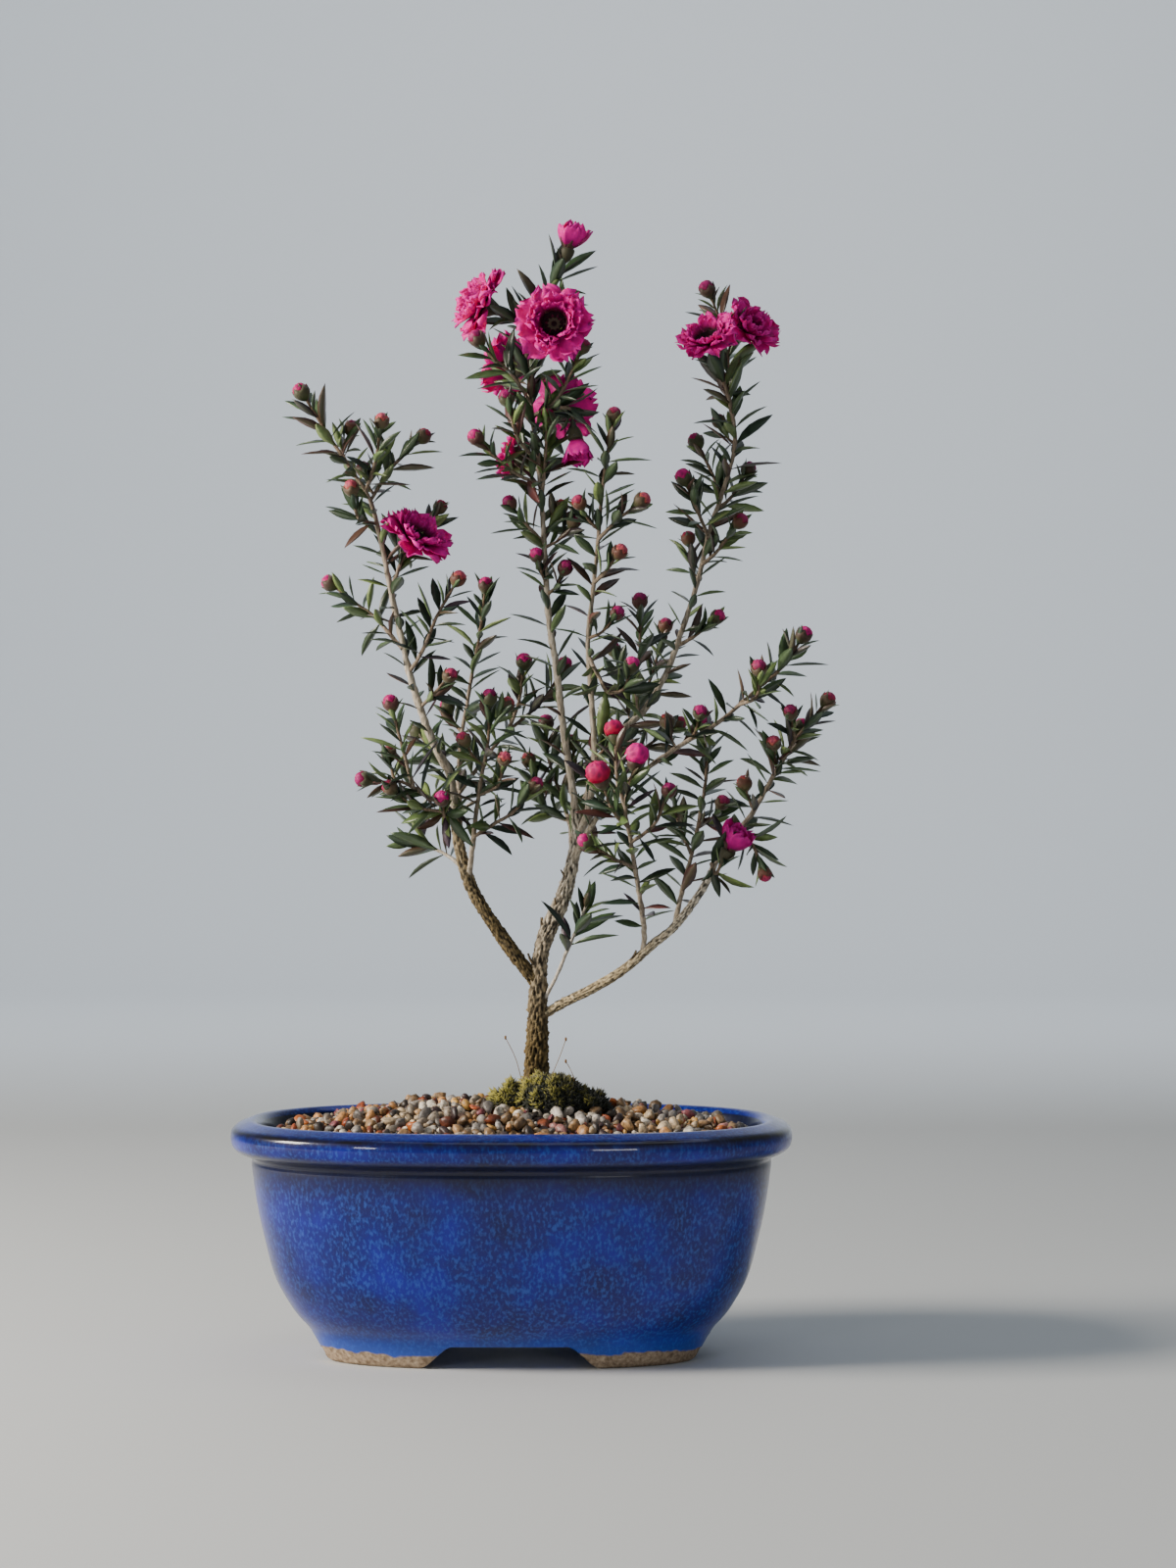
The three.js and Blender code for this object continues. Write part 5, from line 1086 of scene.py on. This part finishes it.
def buds(tips, ways, widths, colours, draw):
    """Buds at tips, pointing along ways. The cup's rim has five points, raised by the power 1.5 of
    a cosine of five waves. The ball is five petals wound over each other: the radius steps at each
    petal's edge, and painted shade darkens the colour where it tucks in under the next."""
    angle = turn_of(BUD_SIDES)
    points_up = (0.5 + 0.5 * np.cos(5 * angle)) ** 1.5
    cup_high = CUP_ROWS[:, :1] + CUP_ROWS[:, 2:] * 1.6 * points_up
    cup_wide = CUP_ROWS[:, 1:2] + 0.12 * CUP_ROWS[:, 2:] * points_up
    wound = np.mod(5 * angle / (2 * np.pi) + 0.9 * BALL_ROWS[:, :1], 1)
    ball_wide = BALL_ROWS[:, 1:] * (0.8 + 0.26 * wound**0.5)
    ball_high = BALL_ROWS[:, :1] + 0.12 * wound
    # Painted shade: the ball's colour falls to 0.35 where each petal tucks in under the next.
    tucked_shade = 0.35 + 0.65 * np.clip(wound * 2.2, 0, 1)
    side = unit(np.cross(ways, np.array([0.31, 0.52, 0.17])))
    up = np.cross(ways, side)
    turned = angle + draw.uniform(0, 6.28, len(tips))[:, None, None]
    half = widths[:, None, None] / 2
    opening = (widths > OPENING_BUD)[:, None, None]
    made = []
    for look, high, wide, dark, tints, (closed, opened) in (
        (2, cup_high, cup_wide, 1 + 0 * cup_wide, colours[0], CUP_SIZE),
        (3, ball_high, ball_wide, tucked_shade, colours[1], BALL_SIZE),
    ):
        reach = np.where(opening, opened[1], closed[1]) * half * wide
        lift = half * high * np.where(opening, opened[0], closed[0])
        reaches = (lift, reach * np.cos(turned), reach * np.sin(turned))
        points, faces = skin(set_out(tips, (ways, side, up), reaches))
        share = np.concatenate([np.repeat(high.mean(1) / 2.1, BUD_SIDES), [0, 1]])
        dark = np.concatenate([dark.ravel(), [1, 1]])
        tints = (tints[:, None] * dark[:, None]).reshape(-1, 3)
        share = np.tile(share, len(tips))
        made.append(bit(*many(points, faces), tints, look=look, share=share))
    return made


def bud_colours(spots, widths, draw):
    """Cup and petal colours for buds at the listed spots: brown if one of BROWN_BUDS is within
    2 mm, bright for an opening bud, and pink for the rest."""
    away = np.linalg.norm(spots[:, None] - np.array(BROWN_BUDS)[None], axis=-1).min(1)
    opening = widths > OPENING_BUD
    brown = ((away < 2) & ~opening)[:, None]
    tight_cup, cup, tight_ball, swelling, bright = (
        rgb(*colours)[draw.integers(0, len(colours), len(spots))] for colours in BUD_COLOURS
    )
    petals = np.where(brown, tight_ball, swelling)
    return np.where(brown, tight_cup, cup), np.where(opening[:, None], bright, petals)


# The leaves' material: a waxy gloss over faint clouds, and a paler underside.
leaf, leaf_shader = new_material("waxy narrow leaves")
leaf_cloud = noise(leaf, own_place(leaf), 500.0)
leaf_colour = mottled(leaf, 0.7, leaf_cloud, (0.3, "#b8b8a8"), (0.7, "#ffffff"))
leaf_pale = spread(leaf, stored(leaf, "share"), 0.5, 1.0, 0.0, 0.4)
link(leaf, leaf_shader, {
    "Base Color": blend(leaf, leaf_pale, leaf_colour, "#6f7f62"), "Roughness": 0.38, "IOR": 1.46,
    "Coat Weight": 0.15, "Coat Roughness": 0.25,
})

# The cups' material: green at the stalk, dull, with the pale sheen of fine down.
cup_skin, cup_shader = new_material("downy bud cups and sepals")
cup_low = spread(cup_skin, stored(cup_skin, "share"), 0.0, 0.4, 0.55, 0.0)
link(cup_skin, cup_shader, {
    "Base Color": blend(cup_skin, cup_low, stored(cup_skin, "tint"), "#5a6b3a"),
    "Roughness": 0.6, "IOR": 1.45, "Sheen Weight": 0.2,
})

# The petals' material: soft clouds of crimson, lighter pink towards the edge, and some light that
# passes through the flesh, so that folds glow and no highlight is hard.
petal, petal_shader = new_material("silky crimson petals")
petal_cloud = noise(petal, own_place(petal), 700.0, 3.0)
petal_colour = mottled(petal, 0.6, petal_cloud, (0.3, "#b8a0c8"), (0.65, "#ffffff"))
petal_light = spread(petal, stored(petal, "share"), 0.55, 1.0, 0.0, 0.2)
link(petal, petal_shader, {
    "Base Color": blend(petal, petal_light, petal_colour, "#ff40c0"), "Roughness": 0.55, "IOR": 1.3,
    "Coat Weight": 0.06, "Coat Roughness": 0.35, "Subsurface Weight": 0.3,
    "Subsurface Radius": (1.0, 0.15, 0.3), "Subsurface Scale": 0.001,
})

TWIG_TINTS = {  # young wood and old wood
    "other": ("#84705e", "#d8cfc0"), "twig_trunk": ("#dcd6cc", "#e6e0d6"),
    "branch_left_lowest": ("#b8b0a4", "#d8d2c8"),
}


def twig_skin(path, run, radii, colours, seed):
    """A twig with knots, from its young to its old colour as its radius goes from 0.4 to 0.9 mm."""
    knots = 1 + 0.08 * waves(rings_round(1, run[:, None] / 2, turn_of(8)), seed, 1.5, 16)
    old = np.clip((radii - 0.4) / 0.5, 0, 1)[:, None, None]
    young, grey = rgb(*colours)
    tints = ((1 - old) * young + old * grey) * (0.7 + 0.3 * knots[..., None])
    return bit(*skin(tube(path, radii, 8, knots)), with_ends(tints))


for number, (node, stems) in enumerate(STEMS.items()):
    draw = np.random.default_rng(300 + number)
    twig_tints = TWIG_TINTS.get(node, TWIG_TINTS["other"])
    twigs = []
    for end, places, *wood in stems:
        wood = wood or (BLOOM_TWIG if isinstance(end, str) else SIDE_TWIG)
        twigs.append((stem_path(end, places), end, places[-1], wood))
    stem_points = np.concatenate([path for (path, _), *_ in twigs])
    for *place, width in SPUR_BUDS.get(node, []):
        twigs.append((spur_path(stem_points, place), width, place, SPUR))
    bits, tips, ways, widths, spots = [], [], [], [], []
    for (path, run), end, (x, _, z), (low, high, bare) in twigs:
        radii = [low * 0.95, high * 0.85, high * 0.7]
        radii = np.interp(run, [0, run[-1] * 0.85, run[-1]], radii)
        bits.append(twig_skin(path, run, radii, twig_tints, 41 + number))
        ends_in_bud = not isinstance(end, str) and end > 0
        bits += leaves_on(path, run, radii, bare, ends_in_bud, draw)
        if ends_in_bud:
            tips.append(path[-1])
            ways.append(unit(path[-1] - path[-4]))
            widths.append(end)
            spots.append((x, z))
    if tips:
        widths = np.array(widths, float)
        colours = bud_colours(np.array(spots), widths, draw)
        bits += buds(np.array(tips), np.array(ways), widths, colours, draw)
    make_piece(node + "_growth", bits, [bark, leaf, cup_skin, petal], "leaves", node)

# The blooms: flowers 12 to 21 mm across. A downy cup with five sepals holds ruffled crimson petals
# round a dark disc: five layers in a double flower, four in a single one, and three, still folded
# into a goblet, in a half open one.
PETAL_LAYERS = {  # petals, length as a share of the bloom's reach, rise in degrees, width over
    # length, curl, and how far from the middle the petals start, mm
    "double": [
        (6, 0.84, 6, 1.25, -0.12, 1.8), (7, 0.74, 22, 1.15, -0.05, 2.4),
        (8, 0.6, 36, 1.1, 0.08, 2.9), (9, 0.46, 50, 1.05, 0.15, 3.2), (9, 0.3, 60, 1.1, 0.1, 3.4),
    ],
    "single": [
        (6, 0.9, 18, 1.15, -0.08, 1.2), (7, 0.8, 34, 1.05, 0.0, 1.6),
        (8, 0.62, 50, 0.95, 0.15, 1.8), (8, 0.45, 64, 0.9, 0.3, 1.8),
    ],
    "half_open": [
        (4, 1.0, 42, 1.25, 0.4, 0.9), (4, 0.9, 58, 1.2, 0.5, 0.9), (5, 0.72, 70, 1.0, 0.6, 0.8),
    ],
}
BLOOM_KINDS = {  # size of the cup and of the disc, rise of the sepals in degrees, and ruffling
    "double": (1.0, 1.0, 20, 1.0), "single": (1.0, 0.6, 20, 1.0), "half_open": (0.75, 0.3, 62, 0.3),
}
PETAL_GRID = 9
PETAL_THICK, SEPAL_THICK = 0.16, 0.22
SEPALS = (5, 3.9)  # how many, and their length in mm
DISC_ROWS = np.array([  # height from the bloom's middle and radius, mm
    (-0.3, 2.9), (0.5, 3.4), (1.1, 3.4), (1.2, 2.9), (0.3, 2.2), (-0.1, 1.2), (0.3, 0.4),
])
BLOOM_CUP = np.array([  # the same, from the end of the twig up and over the rim
    (-4.6, 0.45), (-3.9, 1.0), (-3.0, 1.9), (-2.0, 2.5), (-1.0, 2.8), (-0.2, 2.85), (0.2, 2.5),
    (0.1, 1.6),
])


def ruffled_petals(count, reach, rise, breadth, curl, foot, turn, ruffled, draw):
    """Petals round the axis Z, as sheets of the shape (petals, along, across). The half width grows
    from a narrow claw as the way to the power 0.7 and is rounded off as a quarter ellipse over the
    last 0.4; the margin is raised and lowered by waves that grow as the square of the way, and the
    petal bends by curl."""
    way = np.linspace(0, 1, PETAL_GRID)[None, :, None]
    side = np.linspace(-1, 1, PETAL_GRID)[None, None, :]
    length = reach * draw.uniform(0.9, 1.1, (count, 1, 1))
    round_off = np.sqrt(np.clip(1 - (np.maximum(way - 0.6, 0) / 0.42) ** 2, 0.0, 1))
    x = side * (0.5 * breadth * length * (0.16 + 0.84 * way**0.7) * round_off)
    lobes = np.cos(side * np.pi * 2.5 + draw.uniform(0, 6.28, (count, 1, 1)))
    y = way * length * (1 - 0.1 * way**4 * lobes)
    phase = draw.uniform(0, 6.28, (4, count, 1, 1))
    ruffle = ruffled * way**2 * (
        0.1 * np.sin(4.5 * side + phase[0]) + 0.04 * np.sin(9 * side + 5 * way + phase[1])
        + 0.06 * np.abs(side) * np.sin(8 * way + phase[2])
        + 0.05 * np.sin(7 * way + 3 * side + phase[3])
    )
    bend = curl * way**2 + draw.uniform(-0.08, 0.08, (count, 1, 1)) * way**2
    z = length * (ruffle + bend + 0.12 * side**2 * way)
    tilt = np.radians(rise + 6 * draw.normal(size=(count, 1, 1)))
    outward = y * np.cos(tilt) - z * np.sin(tilt) + foot
    high = y * np.sin(tilt) + z * np.cos(tilt)
    spin = turn + turn_of(count)[:, None, None] + 0.12 * draw.normal(size=(count, 1, 1))
    return np.stack([
        outward * np.cos(spin) - x * np.sin(spin), outward * np.sin(spin) + x * np.cos(spin), high,
    ], axis=-1)


def sheet_skins(sheets, thick):
    """Closed skins from sheets of the shape (sheets, rows, columns, 3): the sheet moved by half of
    thick along its normal and its copy against it, joined round the border."""
    _, rows, columns, _ = sheets.shape
    down, across = np.gradient(sheets, axis=1), np.gradient(sheets, axis=2)
    normal = unit(np.cross(across, down), 1e-9)
    points = np.concatenate([
        (sheets + way * normal * thick / 2).reshape(len(sheets), -1, 3) for way in (1, -1)
    ], axis=1)
    row, column = np.meshgrid(np.arange(rows - 1), np.arange(columns - 1), indexing="ij")
    here = (row * columns + column).ravel()
    top = np.concatenate([
        np.stack([here, here + 1, here + columns + 1], -1),
        np.stack([here, here + columns + 1, here + columns], -1),
    ])
    border = np.concatenate([
        np.arange(columns - 1), np.arange(rows - 1) * columns + columns - 1,
        (rows - 1) * columns + np.arange(columns - 1, 0, -1), np.arange(rows - 1, 0, -1) * columns,
    ])
    after, half = np.roll(border, -1), rows * columns
    rim = np.concatenate([
        np.stack([border, border + half, after + half], -1),
        np.stack([border, after + half, after], -1),
    ])
    return points, np.concatenate([top, top[:, ::-1] + half, rim])


def pointed_at(points, centre, faces):
    """Points made round the axis Z, turned so that it points the way a bloom faces, and moved to
    its middle."""
    ahead = unit(np.array(faces, float))
    side = unit(np.cross(ahead, (0.13, 0.29, 0.95)))
    return centre + points @ np.stack([side, np.cross(ahead, side), ahead])


# The throat's material: nearly black red with hardly any shine, so the middle looks deep.
throat, throat_shader = new_material("dark velvety throat")
link(throat, throat_shader, {
    "Base Color": stored(throat, "tint"), "Roughness": 0.75, "IOR": 1.25, "Sheen Weight": 0.1,
})

way = np.tile(np.repeat(np.linspace(0, 1, PETAL_GRID), PETAL_GRID), 2)
deep, bright = rgb("#480020", "#f400a0")
for number, (node, (at, facing, reach, kind)) in enumerate(BLOOMS.items()):
    draw = np.random.default_rng(500 + number)
    cup_size, disc_size, sepal_rise, ruffled = BLOOM_KINDS[kind]
    made = []  # points, triangles, colours, material and share of each
    for rows, size, look, tint, wobble in (
        (BLOOM_CUP, cup_size, 0, "#33281a", 0.0), (DISC_ROWS, disc_size, 2, "#1c0610", 0.14),
    ):
        angle = turn_of(20)
        wide = rows[:, 1:] * size * (1 + wobble * np.cos(10 * angle)[None])
        made.append((*skin(rings_round(wide, rows[:, :1], angle)), tint, look, 0.3))
    sepals = ruffled_petals(*SEPALS, sepal_rise, 0.8, 0.05, 0.9, 0.3, 0.5, draw) + (0, 0, -0.9)
    made.append((*many(*sheet_skins(sepals, SEPAL_THICK)), "#45241c", 0, 0.5))
    for layer, (count, share, *form) in enumerate(PETAL_LAYERS[kind]):
        sheets = ruffled_petals(count, reach * share, *form, 0.55 * layer, ruffled, draw)
        sheets = sheets + (0, 0, 0.15 + 0.2 * layer)
        # The petals darken towards the claw and in the inner layers: partly their own deeper base,
        # partly painted shade deep in the bloom.
        tints = deep + (bright - deep) * np.clip(way * 1.6 - 0.1 * layer, 0, 1)[:, None]
        tints = (tints[None] * draw.uniform(0.7, 1.05, (count, 1, 1))).reshape(-1, 3)
        made.append((*many(*sheet_skins(sheets, PETAL_THICK)), tints, 1, np.tile(way**3, count)))
    bits = [bit(pointed_at(points, seen(at), facing), *rest) for points, *rest in made]
    make_piece(node + "_petals", bits, [cup_skin, petal, throat], "petals", node)

low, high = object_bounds()
